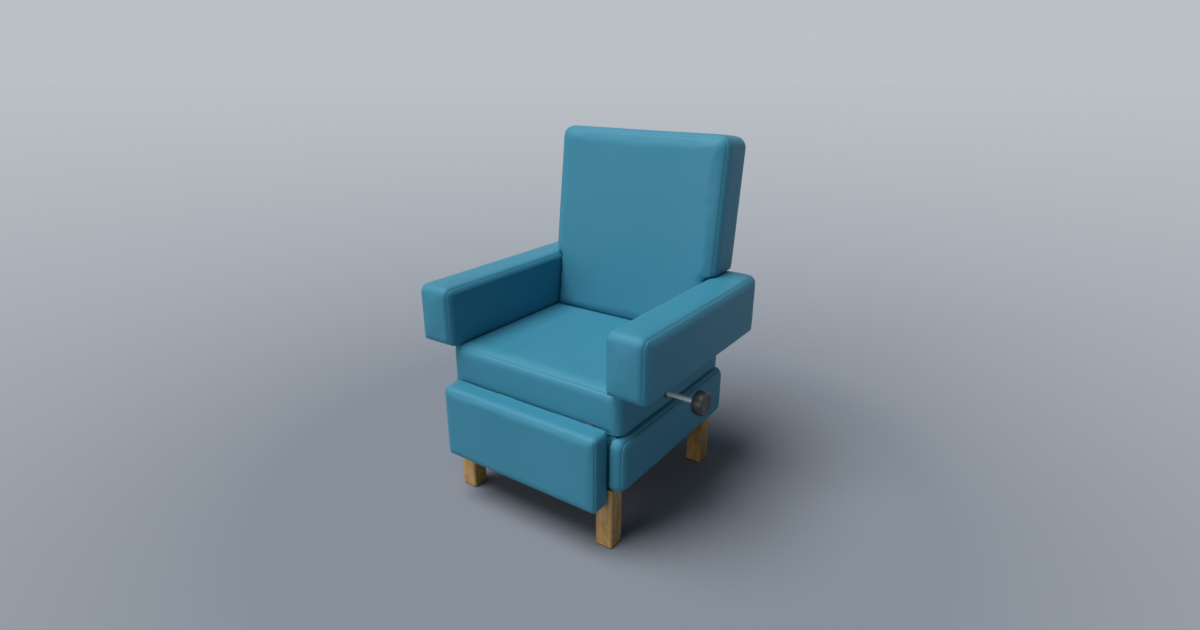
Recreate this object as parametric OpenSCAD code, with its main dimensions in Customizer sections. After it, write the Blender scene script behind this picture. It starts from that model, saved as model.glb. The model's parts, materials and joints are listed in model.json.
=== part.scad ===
// Visitor recliner: padded seat, arms, leaning back and legrest on four wooden legs.
// The front faces -Y and the release knob is on the +X side.
// Zero lies on the floor under the middle of the recliner's outer box.
// Places are measured from the mid plane and the base's front, then moved to that zero.

/* [Sitting] */
// Room between the arms
arm_room = 532; // [460:1:620]
// Distance from the seat's front to the back's face
sit_depth = 473; // [410:1:540]

/* [Base] */
// How far the base reaches out under each arm
base_reach = 52; // [46:1:58]
// Distance from the back's face, at the seat's top, to the base's rear
back_stand = 111; // [105:1:118]
// Height of the padded base
base_h = 160; // [150:1:175]
// Rounding of the base's edges
base_r = 28; // [20:1:30]

/* [Legs] */
// Height of the underside of the base above the floor
leg_h = 184; // [150:1:220]
// Width of a square leg
leg_w = 53; // [44:1:56]
// Bevel on a leg's corners
leg_bevel = 4; // [2:0.5:6]

/* [Seat] */
// How far the seat's sides lie inside the base's
seat_side = 18; // [14:1:20]
// Height of the seat cushion with the rails inside it
seat_h = 123; // [110:1:150]
// Rounding of the seat cushion's edges
seat_r = 24; // [20:1:24]
// Distance from the base's front to the seat's front
seat_setback = 14; // [13:1:16]

/* [Arms] */
// Width of an arm
arm_w = 121; // [112:1:140]
// Height of an arm
arm_h = 177; // [150:1:200]
// Rounding of an arm's edges
arm_r = 24; // [14:1:24]
// Gap between the seat and an arm's underside
arm_gap = 5; // [4:1:10]
// How far the arms reach past the base's front
arm_reach = 21; // [10:1:30]
// How far the arms reach past the base's rear
arm_behind = 52; // [30:1:60]

/* [Back] */
// How far the back's sides lie inside the base's, above the arms
back_side = 16.5; // [5:0.5:24]
// Height of the back along its lean
back_h = 600; // [560:1:640]
// Thickness of the back
back_t = 153; // [148:1:160]
// Rounding of the back's edges
back_r = 34; // [22:1:34]
// Lean of the back at rest
back_lean = 6.9; // [6:0.1:7.5]
// Gap between the back and each arm
back_side_gap = 6; // [4:1:8]
// Gap between the arms' tops and the back's shoulders
shoulder_gap = 6; // [5:1:12]

/* [Legrest] */
// Width of the base's side panels beside the legrest
nose_w = 41; // [38:1:46]
// Height of the legrest pad
legrest_h = 225; // [200:1:235]
// Thickness of the legrest pad
legrest_t = 62; // [56:1:70]
// Rounding of the legrest pad's edges
legrest_r = 14; // [10:1:14]
// How far the legrest pad rises above the base's top
legrest_rise = 19; // [18:1:21]
// Gap between the legrest pad and the seat's front
legrest_gap = 7; // [6.5:0.5:8]

/* [Release] */
// Diameter of the release rod
rod_d = 15; // [12:0.5:16]
// Height of the rod above the base's top
rod_rise = 36; // [34:1:38]
// Distance from the base's front to the rod
rod_y = 257; // [240:1:280]
// Diameter of the knob
knob_d = 70; // [55:1:76]
// Thickness of the knob
knob_t = 33; // [22:1:40]
// Distance from the arm's outer side to the knob's inner face
knob_clear = 2; // [1:1:20]
// Travel of the knob when it is pulled
pull = 10; // [8:0.5:12]

/* [Motion] */
// Angle that the back reclines from rest
back_swing = 40; // [34:1:42]
// Angle that the legrest rises from rest
legrest_swing = 75; // [70:1:78]
// Distance from the back's pivot down to the drive bars
back_crank = 70; // [68:1:74]

/* [Padding] */
// Crown of the cushions' faces
crown = 5; // [3:0.5:8]
// How far the cushions' sides pull in between their corners
draw_in = 2; // [1:0.5:3]

/* [Wood and steel] */
// Thickness of the wooden rails
board_t = 22; // [20:1:24]
// Thickness of the hinge ears
ear_t = 6; // [5:0.5:7]
// Thickness of the crank plates
crank_t = 5; // [4:0.5:6]
// Thickness of the drive bars
bar_t = 6; // [5:0.5:7]
// Height of the drive bars
bar_h = 20; // [18:1:22]

/* [Hidden] */
$fn = 48;

// Clearances, and the overrun of every cut
soft_gap = 0.3;
slide_gap = 0.3;
fit_gap = 0.05;
over = 2;

// Facets of a hulled plate, and steps of a cushion's corners, sides, edges and crown
hull_fn = 32;
corner_steps = 4;
side_steps = 3;
edge_steps = 4;
crown_steps = 3;

// Colours
vinyl = [0.22, 0.49, 0.59];
beech = [0.72, 0.58, 0.36];
pine = [0.80, 0.68, 0.47];
steel = [0.78, 0.80, 0.82];
dark_steel = [0.16, 0.17, 0.18];
black = [0.12, 0.12, 0.13];
strap = [0.35, 0.36, 0.34];

// Levels
plate_t = 3;
base_top = leg_h + base_h;
frame_bottom = leg_h + plate_t;
seat_top = base_top + seat_h;
arm_bottom = seat_top + arm_gap;
arm_top = arm_bottom + arm_h;

// Widths and depths that follow the room for the sitter
base_w = arm_room + 2 * base_reach;
base_d = seat_setback + sit_depth + back_stand;
seat_rear_in = 3;
seat_w = base_w - 2 * seat_side;
seat_d = base_d - seat_setback - seat_rear_in;
arm_d = arm_reach + base_d + arm_behind;
back_w = base_w - 2 * back_side;
nose_gap = 5;
nose_in = base_w / 2 - nose_w;
legrest_w = 2 * (nose_in - nose_gap);

// Seat: wooden rails inside padded walls
seat_wall = 20;
seat_end_wall = 16;
seat_rail_h = 56;
seat_half = seat_w / 2;
seat_rear = seat_setback + seat_d;
seat_rail_out = seat_half - seat_wall;
seat_rail_in = seat_rail_out - board_t;
seat_rail_front = seat_setback + seat_end_wall;
seat_rail_rear = seat_rear - seat_end_wall;
seat_rail_top = base_top + seat_rail_h;

// Elastic webbing on the seat's rails and the back's stiles
strap_w = 50;
strap_t = 2;
strap_end = 4;
seat_cross_straps = 6;
seat_long_straps = 5;
back_straps = 5;
webbing_top = seat_rail_top + 2 * strap_t;

// Arms, and the flat bars inside the seat's side walls that carry them
arm_in = arm_room / 2;
arm_out = arm_in + arm_w;
arm_front = -arm_reach;
arm_bar_gap = 4;
arm_bar_t = 8;
arm_bar_w = 40;
arm_bar_down = 126;
arm_bar_up = 88;
arm_bar_inset = 110;
arm_bar_in = seat_rail_out + arm_bar_gap;
arm_bar_out = arm_bar_in + arm_bar_t;
arm_bar_ys = [arm_bar_inset, base_d - arm_bar_inset];
arm_core_t = 48;
arm_core_h = 98;
arm_core_end = 45;
arm_bolt_d = 8;
arm_bolt_head_d = 14;
arm_bolt_head_t = 3;
arm_bolt_grip = 22;
arm_bolt_low = 110;
arm_bolt_high = 40;
arm_bolt_core_low = 25;
arm_bolt_core_high = 65;
arm_bolt_base_zs = [base_top - arm_bolt_low, base_top - arm_bolt_high];
arm_bolt_core_zs = [arm_bottom + arm_bolt_core_low, arm_bottom + arm_bolt_core_high];

// Base frame
base_half = base_w / 2;
rail_out = arm_bar_in;
rail_in = rail_out - board_t;
front_rail_in = 6;
rear_rail_in = 3;
front_rail_y = seat_setback + front_rail_in;
rear_rail_end = seat_rail_rear - rear_rail_in;
rear_rail_y = rear_rail_end - board_t;
block_w = 40;
block_d = 34;
block_h = 109;

// Legs with their glides, plates and bolts
leg_bolt_d = 8;
leg_bolt_in = 7.5;
leg_bolt_setback = 15.5;
leg_bolt_down = 50;
leg_bolt_up = 60;
leg_plate_w = 44;
glide_d = 32;
glide_h = 4;
glide_nail_d = 5;
glide_nail_h = 22;
leg_x = rail_in - leg_bolt_in;
leg_ys = [front_rail_y + leg_bolt_setback, rear_rail_y + board_t / 2];

// Drive: the legrest's crank is as long as its bigger swing lets one stroke turn it
pivot_back = 1;
pivot_drop = 6;
pivot_behind_base = 28;
legrest_rear = seat_setback - legrest_gap;
legrest_top = base_top + legrest_rise;
legrest_pivot = [legrest_rear + pivot_back, legrest_top - pivot_drop];
stroke = 2 * back_crank * tan(back_swing / 2);
legrest_crank = stroke / 2 / tan(legrest_swing / 2);
bar_z = legrest_pivot.y - legrest_crank;
back_pivot = [base_d + pivot_behind_base, bar_z + back_crank];
legrest_pin = [legrest_pivot.x + stroke / 2, bar_z];
back_pin = [back_pivot.x + stroke / 2, bar_z];

// Planes of the hinge ears, cranks and bars, from the inside out
ear_inset = 57;
ear_in = rail_in - ear_inset;
plane_gap = 6;
crank_in = ear_in + ear_t + plane_gap;
crank_out = crank_in + crank_t;
bar_gap = 4;
bar_in = crank_out + bar_gap;
bar_out = bar_in + bar_t;
notch_room = 5;
notch_in = crank_in - notch_room;
notch_out = bar_out + notch_room;

// Pins and slots of the linkage: each slot is as much wider as the pin wanders
drive_pin_d = 8;
pin_head_d = 13;
pin_head_t = 2.4;
pin_reach = 1;
clip_t = 1.5;
pin_tail = 3;
back_slot_play = 0.6;
legrest_slot_play = 1.9;
slot_wall = 5;
legrest_pin_d = 8;
legrest_ear_d = 14;
recline_pin_d = 12;
recline_ear_d = 30;
recline_head_d = 20;
washer_wall = 4;

// Brackets, their flanges and bolts
flange_t = 3;
flange_w = 24;
front_flange_h = 70;
flange_drop = 12;
front_bolt_low = 68;
rear_bolt_low = 110;
bolt_high = 28;
rear_flange_t = 5;
rear_flange_w = 34;
rear_flange_h = 120;
rear_ear_foot = 95;
bracket_bolt_d = 6;
bracket_head_d = 11;
bracket_head_t = 4;
front_bolt_zs = [base_top - front_bolt_low, base_top - bolt_high];
rear_bolt_zs = [base_top - rear_bolt_low, base_top - bolt_high];
front_bolt_x = ear_in + ear_t - flange_w / 2;
rear_bolt_x = ear_in - rear_flange_w / 2;
ear_out = ear_in + ear_t;

// Notches for the bars and cranks in the front rail, rear rail and rear cover
notch_h = 54;
notch_z = base_top - notch_h;

// Guides and cross tube of the drive bars
guide_l = 30;
guide_wall = 6;
guide_lip = 3;
guide_front = 110;
guide_rear = 84;
guide_ys = [front_rail_y + guide_front, rear_rail_y - guide_rear];
drive_tube_d = 18;
drive_tube_wall = 2;
drive_tube_y = rear_rail_y - 2 * guide_rear;

// Release: rod, housing, spring, collar, friction pad and the plate that it presses on
rod_z = base_top + rod_rise;
rod_at = [rod_y, rod_z];
knob_in = arm_out + knob_clear;
knob_out = knob_in + knob_t;
knob_edge = 4;
rod_in_knob = 14;
lock_pad_d = 24;
lock_pad_t = 6;
lock_plate_t = 4;
lock_plate_end = 17;
lock_plate_up = 17;
housing_lip = 2;
housing_wall = 3;
spring_solid = 14;
spring_wire = 2;
spring_room = 0.4;
collar_t = 4;
collar_back = 2;
ring_t = 2;
ring_wall = 5.5;
spring_d = rod_d + 2 * spring_room + 2 * spring_wire;
housing_in = seat_rail_in - housing_lip;
housing_bore = spring_d + 2 * spring_room;
housing_d = housing_bore + 2 * housing_wall;
collar_x = housing_in + collar_back;
shoulder_x = collar_x + collar_t + pull + spring_solid;
lock_pad_x = bar_out + lock_plate_t + slide_gap;

// Back, in its own leaning frame: Y from its face to its rear, Z up from the seat's top
back_foot = [seat_setback + sit_depth, seat_top];
back_half = back_w / 2;
waist_half = arm_in - back_side_gap;
back_skirt = 24;
back_rear_pad = 23;
back_foot_gap = 1;
seat_rear_gap = 2.5;
stile_w = 28;
stile_foot = 16;
stile_y = back_t - back_rear_pad - board_t;
stile_in = crank_out;
stile_out = stile_in + stile_w;
back_rail_h = 40;
back_top_wall = 20;
back_rail_top = back_h - back_top_wall - back_rail_h;
back_wing_wall = 16;
back_mid_rail = 300;
crank_up = 110;
crank_slot_gap = 1;
crank_bolt_d = 8;
crank_bolt_low = 36;
crank_bolt_high = 96;
crank_bolt_zs = [crank_bolt_low, crank_bolt_high];

// Legrest board
board_side = 10;
legrest_board_t = 12;
legrest_board_low = 12;
legrest_board_up = 18;
crank_flange_w = 30;
crank_flange_h = 60;
crank_flange_drop = 20;
crank_screw_in = 20;
crank_screw_d = 5;
crank_screw_end = 12;
pivot_notch = 3;
pivot_notch_side = 2;

// Zero of the finished part
legrest_front = legrest_rear - legrest_t;
back_end = back_foot.x + (back_t - back_r) * cos(back_lean) + (back_h - back_r) * sin(back_lean) + back_r;
origin = [(knob_out - arm_out) / 2, (legrest_front + back_end) / 2, 0];

// Moves a piece from the base's front and mid plane to the part's zero
module placed() translate(-origin) children();

// Draws a right-hand piece, mirrored for side -1
module on_side(side) mirror([side < 0 ? 1 : 0, 0, 0]) children();

// A box between two corners
module box(low, high) translate(low) cube(high - low);

// An outline in Y and Z, made solid from one X to another
module plate_x(x0, x1) translate([x0, 0, 0]) rotate([90, 0, 90]) linear_extrude(x1 - x0) children();

// A round bar along X at a point [y, z]
module bar_x(x0, x1, at, d) translate([x0, at.x, at.y]) rotate([0, 90, 0]) cylinder(d = d, h = x1 - x0);

// A round bar along Y at a point [x, z]
module bar_y(y0, y1, at, d) translate([at.x, y0, at.y]) rotate([-90, 0, 0]) cylinder(d = d, h = y1 - y0);

// The back's leaning frame
module leaned() translate([0, back_foot.x, back_foot.y]) rotate([-back_lean, 0, 0]) children();

// A cushion's outline: four round corners with points along the sides between them
corner_signs = [[1, 1], [-1, 1], [-1, -1], [1, -1]];
function corner_arc(k, half, r) = [for (i = [0:corner_steps])
  let (a = 90 * (k + i / corner_steps), s = corner_signs[k])
  [s.x * (half.x - r) + r * cos(a), s.y * (half.y - r) + r * sin(a)]];
function side_run(p, q) = [for (i = [1:side_steps]) p + (q - p) * i / (side_steps + 1)];
function rim(half, r) = [for (k = [0:3])
  let (arc = corner_arc(k, half, r), next = corner_arc((k + 1) % 4, half, r))
  each concat(arc, side_run(arc[corner_steps], next[0]))];

// Each ring of a cushion as [inset, height, share of the outline]
function edge_ring(i, r) = let (a = 90 * i / edge_steps) [r * (1 - sin(a)), r * (1 - cos(a))];
function pad_rings(h, r) = concat(
  [for (i = [0:edge_steps]) [edge_ring(i, r)[0], edge_ring(i, r)[1], 1]],
  [for (i = [edge_steps:-1:0]) [edge_ring(i, r)[0], h - edge_ring(i, r)[1], 1]],
  [for (i = [1:crown_steps - 1]) [r, h, 1 - i / crown_steps]]);

// A ring's point, with the sides drawn in between the corners and the upper face crowned
function pad_point(p, ring, half, h, top_crown, side_draw) =
  let (x = p.x * (1 - ring[0] / half.x) * ring[2], y = p.y * (1 - ring[0] / half.y) * ring[2],
    u = 1 - pow(x / half.x, 2), v = 1 - pow(y / half.y, 2))
  [x * (1 - side_draw / half.x * v), y * (1 - side_draw / half.y * u),
    ring[1] * (1 - top_crown / h * (1 - u * v))];

// A closed padded block with its corner at zero and its crowned face up
module pad(size, r, top_crown, side_draw) {
  half = [size.x / 2, size.y / 2];
  edge = rim(half, r);
  rings = pad_rings(size.z, r);
  n = len(edge);
  last = (len(rings) - 1) * n;
  low = len(rings) * n;
  sides = [for (ring = rings) each [for (p = edge) pad_point(p, ring, half, size.z, top_crown, side_draw)]];
  points = concat(sides, [[0, 0, 0], [0, 0, size.z]]);
  walls = [for (k = [0:len(rings) - 2]) for (i = [0:n - 1])
    let (a = k * n + i, b = k * n + (i + 1) % n)
    each [[a, a + n, b + n], [a, b + n, b]]];
  caps = [for (i = [0:n - 1])
    each [[low, i, (i + 1) % n], [low + 1, last + (i + 1) % n, last + i]]];
  translate([half.x, half.y, 0]) polyhedron(points = points, faces = concat(walls, caps));
}

// Legs
module leg_outline() {
  w = leg_w;
  c = leg_bevel;
  polygon([[c, 0], [w - c, 0], [w, c], [w, w - c], [w - c, w], [c, w], [0, w - c], [0, c]]);
}

module leg(side, k) placed() on_side(side) color(beech) difference() {
  translate([leg_x - leg_w / 2, leg_ys[k] - leg_w / 2, glide_h]) linear_extrude(leg_h - glide_h) leg_outline();
  translate([leg_x, leg_ys[k], leg_h - leg_bolt_down - over])
    cylinder(d = leg_bolt_d + 2 * fit_gap, h = leg_bolt_down + 2 * over);
  translate([leg_x, leg_ys[k], 0]) cylinder(d = glide_nail_d + 2 * fit_gap, h = glide_h + glide_nail_h + over);
}

module at_legs() placed() for (side = [-1, 1]) on_side(side)
  for (y = leg_ys) translate([leg_x, y, 0]) children();

module leg_glides() at_legs() color(black) {
  cylinder(d = glide_d, h = glide_h);
  cylinder(d = glide_nail_d, h = glide_h + glide_nail_h);
}

module leg_plates() at_legs() color(dark_steel) difference() {
  translate([-leg_plate_w / 2, -leg_plate_w / 2, leg_h]) cube([leg_plate_w, leg_plate_w, plate_t]);
  translate([0, 0, leg_h - over]) cylinder(d = leg_bolt_d + 2 * fit_gap, h = plate_t + 2 * over);
}

module leg_bolts() at_legs() color(steel)
  translate([0, 0, leg_h - leg_bolt_down]) cylinder(d = leg_bolt_d, h = leg_bolt_down + leg_bolt_up);

module leg_bolt_holes() for (y = leg_ys) translate([leg_x, y, frame_bottom - over])
  cylinder(d = leg_bolt_d + 2 * fit_gap, h = leg_bolt_up + 2 * over);

module leg_plate_room() for (y = leg_ys)
  box([leg_x - leg_plate_w / 2 - soft_gap, y - leg_plate_w / 2 - soft_gap, 0],
    [leg_x + leg_plate_w / 2 + soft_gap, y + leg_plate_w / 2 + soft_gap, frame_bottom + soft_gap]);

// Holes for the bolts that hold the arm bars, through the rail or core beside them
module arm_bolt_holes(zs) for (y = arm_bar_ys) for (z = zs)
  bar_x(arm_bar_in - arm_bolt_grip - over, arm_bar_out + arm_bolt_grip + over, [y, z],
    arm_bolt_d + 2 * fit_gap);

// Base frame
module base_rail(side) placed() on_side(side) color(pine) difference() {
  box([rail_in, front_rail_y, frame_bottom], [rail_out, rear_rail_end, base_top]);
  arm_bolt_holes(arm_bolt_base_zs);
}

module notch(y0, y1) box([notch_in, y0, notch_z], [notch_out, y1, base_top + over]);

module base_rail_front() placed() color(pine) difference() {
  box([-rail_in, front_rail_y, frame_bottom], [rail_in, front_rail_y + board_t, base_top]);
  for (side = [-1, 1]) on_side(side) {
    notch(front_rail_y - over, front_rail_y + board_t + over);
    leg_bolt_holes();
    bracket_holes(front_rail_y - over, front_rail_y + board_t + over, front_bolt_x, front_bolt_zs);
  }
}

module base_rail_rear() placed() color(pine) difference() {
  box([-rail_in, rear_rail_y, frame_bottom], [rail_in, rear_rail_end, base_top]);
  for (side = [-1, 1]) on_side(side) {
    notch(rear_rail_y - over, rear_rail_end + over);
    leg_bolt_holes();
    bracket_holes(rear_rail_y - over, rear_rail_end + over, rear_bolt_x, rear_bolt_zs);
  }
}

module bracket_holes(y0, y1, x, zs) for (z = zs) bar_y(y0, y1, [x, z], bracket_bolt_d + 2 * fit_gap);

module corner_blocks() placed() for (side = [-1, 1]) on_side(side) color(pine) {
  box([rail_in - block_w, front_rail_y + board_t, frame_bottom],
    [rail_in, front_rail_y + board_t + block_d, frame_bottom + block_h]);
  box([rail_in - block_w, rear_rail_y - block_d, frame_bottom], [rail_in, rear_rail_y, frame_bottom + block_h]);
}

// Padded base: one rounded block, cut into its covers
module base_block() translate([-base_half, 0, leg_h]) pad([base_w, base_d, base_h], base_r, 0, 0);

module base_cover(side) placed() on_side(side) color(vinyl) difference() {
  intersection() {
    base_block();
    union() {
      box([rail_out + soft_gap, -over, 0], [base_w, base_d + over, seat_top]);
      box([nose_in, -over, 0], [base_w, front_rail_y - soft_gap, seat_top]);
    }
  }
  for (y = arm_bar_ys)
    box([rail_in, y - arm_bar_w / 2 - soft_gap, base_top - arm_bar_down - soft_gap],
      [arm_bar_out + arm_bolt_head_t + soft_gap, y + arm_bar_w / 2 + soft_gap, seat_top]);
  leg_plate_room();
}

module base_cover_rear() placed() color(vinyl) difference() {
  intersection() {
    base_block();
    box([-rail_out, rear_rail_end + soft_gap, 0], [rail_out, base_d + over, seat_top]);
  }
  for (side = [-1, 1]) on_side(side) {
    notch(rear_rail_end, base_d + over);
    bracket_holes(rear_rail_end, base_d + over, rear_bolt_x, rear_bolt_zs);
    leg_plate_room();
  }
}

// Seat frame, webbing and cushion
module seat_rail(side) placed() on_side(side) color(pine) difference() {
  box([seat_rail_in, seat_rail_front, base_top], [seat_rail_out, seat_rail_rear, seat_rail_top]);
  if (side > 0) bar_x(seat_rail_in - over, seat_rail_out + over, rod_at, housing_d + 2 * fit_gap);
}

module seat_cross_rail(y) placed() color(pine)
  box([-seat_rail_in, y, base_top], [seat_rail_in, y + board_t, seat_rail_top]);

module seat_webbing() placed() color(strap) {
  half = seat_rail_out - strap_end;
  room = seat_rail_rear - seat_rail_front - 2 * board_t;
  for (i = [1:seat_cross_straps])
    translate([-half, seat_rail_front + board_t + room * i / (seat_cross_straps + 1) - strap_w / 2,
      seat_rail_top])
      cube([2 * half, strap_w, strap_t]);
  for (i = [1:seat_long_straps])
    translate([seat_rail_in * (2 * i / (seat_long_straps + 1) - 1) - strap_w / 2, seat_rail_front + strap_end,
      seat_rail_top + strap_t])
      cube([strap_w, seat_rail_rear - seat_rail_front - 2 * strap_end, strap_t]);
}

module arm_bar_slots(head) for (side = [-1, 1]) on_side(side) for (y = arm_bar_ys)
  box([arm_bar_in - head - soft_gap, y - arm_bar_w / 2 - soft_gap, base_top - over],
    [arm_bar_out + soft_gap, y + arm_bar_w / 2 + soft_gap, arm_bottom + arm_bar_up + soft_gap]);

module seat_cushion() placed() color(vinyl) difference() {
  translate([-seat_half, seat_setback, base_top + soft_gap])
    pad([seat_w, seat_d, seat_h - soft_gap], seat_r, crown, draw_in);
  box([-seat_rail_out - soft_gap, seat_rail_front - soft_gap, base_top - over],
    [seat_rail_out + soft_gap, seat_rail_rear + soft_gap, webbing_top + soft_gap]);
  arm_bar_slots(0);
  bar_x(seat_rail_out, seat_half + over, rod_at, housing_d + 2 * soft_gap);
}

// Arms
module arm_core(side) placed() on_side(side) color(pine) difference() {
  box([arm_bar_out, arm_front + arm_core_end, arm_bottom + soft_gap],
    [arm_bar_out + arm_core_t, arm_front + arm_d - arm_core_end, arm_bottom + arm_core_h]);
  arm_bolt_holes(arm_bolt_core_zs);
}

module arm_bars() placed() for (side = [-1, 1]) on_side(side) color(dark_steel) difference() {
  for (y = arm_bar_ys) box([arm_bar_in, y - arm_bar_w / 2, base_top - arm_bar_down],
    [arm_bar_out, y + arm_bar_w / 2, arm_bottom + arm_bar_up]);
  arm_bolt_holes(concat(arm_bolt_base_zs, arm_bolt_core_zs));
}

module arm_bolts() placed() for (side = [-1, 1]) on_side(side) for (y = arm_bar_ys) color(steel) {
  for (z = arm_bolt_base_zs) {
    bar_x(arm_bar_in - arm_bolt_grip, arm_bar_out + arm_bolt_head_t, [y, z], arm_bolt_d);
    bar_x(arm_bar_out, arm_bar_out + arm_bolt_head_t, [y, z], arm_bolt_head_d);
  }
  for (z = arm_bolt_core_zs) {
    bar_x(arm_bar_in - arm_bolt_head_t, arm_bar_out + arm_bolt_grip, [y, z], arm_bolt_d);
    bar_x(arm_bar_in - arm_bolt_head_t, arm_bar_in, [y, z], arm_bolt_head_d);
  }
}

module arm_pad(side) placed() on_side(side) color(vinyl) difference() {
  translate([arm_in, arm_front, arm_bottom]) pad([arm_w, arm_d, arm_h], arm_r, crown, draw_in);
  box([arm_bar_out - soft_gap, arm_front + arm_core_end - soft_gap, arm_bottom - over],
    [arm_bar_out + arm_core_t + soft_gap, arm_front + arm_d - arm_core_end + soft_gap,
      arm_bottom + arm_core_h + soft_gap]);
  arm_bar_slots(arm_bolt_head_t);
}

// Hinge brackets: an ear for the pivot pin and a flange that is bolted to the rail
module legrest_bracket(side) placed() on_side(side) color(dark_steel) difference() {
  foot_top = base_top - flange_drop;
  union() {
    plate_x(ear_in, ear_out) {
      translate(legrest_pivot) circle(d = legrest_ear_d);
      intersection() {
        hull() {
          translate(legrest_pivot) circle(d = legrest_ear_d, $fn = hull_fn);
          translate([front_rail_y - flange_t, foot_top - front_flange_h]) square([flange_t, front_flange_h]);
        }
        translate([legrest_pivot.x, 0]) square([base_d, seat_top]);
      }
    }
    box([ear_out - flange_w, front_rail_y - flange_t, foot_top - front_flange_h],
      [ear_out, front_rail_y, foot_top]);
  }
  bar_x(ear_in - over, ear_out + over, legrest_pivot, legrest_pin_d + 2 * fit_gap);
  bracket_holes(front_rail_y - flange_t - over, front_rail_y + over, front_bolt_x, front_bolt_zs);
}

module recline_bracket(side) placed() on_side(side) color(dark_steel) difference() {
  face = base_d + soft_gap;
  foot_top = base_top - flange_drop;
  union() {
    plate_x(ear_in, ear_out) hull() {
      translate(back_pivot) circle(d = recline_ear_d, $fn = 2 * hull_fn);
      translate([face, foot_top - rear_ear_foot]) square([rear_flange_t, rear_ear_foot]);
    }
    box([ear_out - rear_flange_w, face, foot_top - rear_flange_h], [ear_out, face + rear_flange_t, foot_top]);
  }
  bar_x(ear_in - over, ear_out + over, back_pivot, recline_pin_d + 2 * fit_gap);
  bracket_holes(face - over, face + rear_flange_t + over, rear_bolt_x, rear_bolt_zs);
}

module bracket_bolts() placed() for (side = [-1, 1]) on_side(side) color(steel) {
  front_face = front_rail_y - flange_t;
  rear_face = base_d + soft_gap + rear_flange_t;
  for (z = front_bolt_zs) {
    bar_y(front_face - bracket_head_t, front_rail_y + board_t, [front_bolt_x, z], bracket_bolt_d);
    bar_y(front_face - bracket_head_t, front_face, [front_bolt_x, z], bracket_head_d);
  }
  for (z = rear_bolt_zs) {
    bar_y(rear_rail_y, rear_face + bracket_head_t, [rear_bolt_x, z], bracket_bolt_d);
    bar_y(rear_face, rear_face + bracket_head_t, [rear_bolt_x, z], bracket_head_d);
  }
}

// A pivot pin: head against the ear, clip beyond the crank
module pivot_pin(at, d, head_d) {
  bar_x(ear_in - pin_head_t, crank_out + pin_tail, at, d);
  bar_x(ear_in - pin_head_t, ear_in, at, head_d);
  bar_x(crank_out + slide_gap, crank_out + slide_gap + clip_t, at, d + 2 * clip_t);
}

module pivot_pins() placed() for (side = [-1, 1]) on_side(side) color(steel) {
  pivot_pin(legrest_pivot, legrest_pin_d, pin_head_d);
  pivot_pin(back_pivot, recline_pin_d, recline_head_d);
}

module washer(at, d) difference() {
  bar_x(ear_out + slide_gap, crank_in - slide_gap, at, d + 2 * washer_wall);
  bar_x(ear_out - over, crank_in + over, at, d + 2 * fit_gap);
}

module hinge_washers() placed() for (side = [-1, 1]) on_side(side) color(black) {
  washer(legrest_pivot, legrest_pin_d);
  washer(back_pivot, recline_pin_d);
}

// Drive between the two cranks
module bar_guides() placed() for (side = [-1, 1]) on_side(side) for (y = guide_ys) color(black)
  difference() {
    box([bar_in - guide_lip, y - guide_l / 2, bar_z - bar_h / 2 - guide_wall],
      [rail_in, y + guide_l / 2, bar_z + bar_h / 2 + guide_wall]);
    box([bar_in - slide_gap, y - guide_l, bar_z - bar_h / 2 - slide_gap],
      [bar_out + slide_gap, y + guide_l, bar_z + bar_h / 2 + slide_gap]);
  }

module drive_bar(side) placed() on_side(side) color(steel) difference() {
  union() {
    box([bar_in, legrest_pin.x, bar_z - bar_h / 2], [bar_out, back_pin.x, bar_z + bar_h / 2]);
    for (pin = [legrest_pin, back_pin]) bar_x(bar_in, bar_out, pin, bar_h);
  }
  for (pin = [legrest_pin, back_pin]) bar_x(bar_in - over, bar_out + over, pin, drive_pin_d + 2 * fit_gap);
}

module drive_pins() placed() for (side = [-1, 1]) on_side(side) color(steel)
  for (pin = [legrest_pin, back_pin]) {
    bar_x(crank_in - pin_reach - pin_head_t, bar_out, pin, drive_pin_d);
    bar_x(crank_in - pin_reach - pin_head_t, crank_in - pin_reach, pin, pin_head_d);
  }

module drive_tube() placed() color(steel) difference() {
  bar_x(-bar_in, bar_in, [drive_tube_y, bar_z], drive_tube_d);
  bar_x(-bar_in - over, bar_in + over, [drive_tube_y, bar_z], drive_tube_d - 2 * drive_tube_wall);
}

module lock_plate() placed() color(steel)
  box([bar_out, rod_y - lock_plate_end, bar_z - bar_h / 2],
    [bar_out + lock_plate_t, rod_y + lock_plate_end + stroke, rod_z + lock_plate_up]);

// The slot of a crank, which points from its pivot down to the drive pin at rest
module crank_slot(pivot, reach, half_swing, play) {
  w = drive_pin_d + 2 * play;
  far = reach / cos(half_swing);
  translate(pivot) rotate(half_swing) {
    translate([-w / 2, -far]) square([w, far - reach]);
    for (r = [reach, far]) translate([0, -r]) circle(d = w);
  }
}

module back_crank(side) placed() on_side(side) color(dark_steel) difference() {
  plate_x(crank_in, crank_out) difference() {
    union() {
      difference() {
        hull() {
          translate(back_foot) rotate(-back_lean) translate([stile_y, stile_foot]) square([board_t, crank_up]);
          translate(back_pivot) circle(d = recline_ear_d, $fn = 2 * hull_fn);
        }
        translate(back_foot) rotate(-back_lean) translate([stile_y + board_t, stile_foot - soft_gap])
          square([board_t, crank_up + over]);
      }
      hull() {
        translate(back_pivot) circle(d = recline_ear_d, $fn = 2 * hull_fn);
        translate(back_pin) circle(d = drive_pin_d + 2 * back_slot_play + 2 * slot_wall, $fn = hull_fn);
      }
    }
    crank_slot(back_pivot, back_crank, back_swing / 2, back_slot_play);
  }
  bar_x(crank_in - over, crank_out + over, back_pivot, recline_pin_d + 2 * fit_gap);
  leaned() crank_bolt_holes();
}

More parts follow.
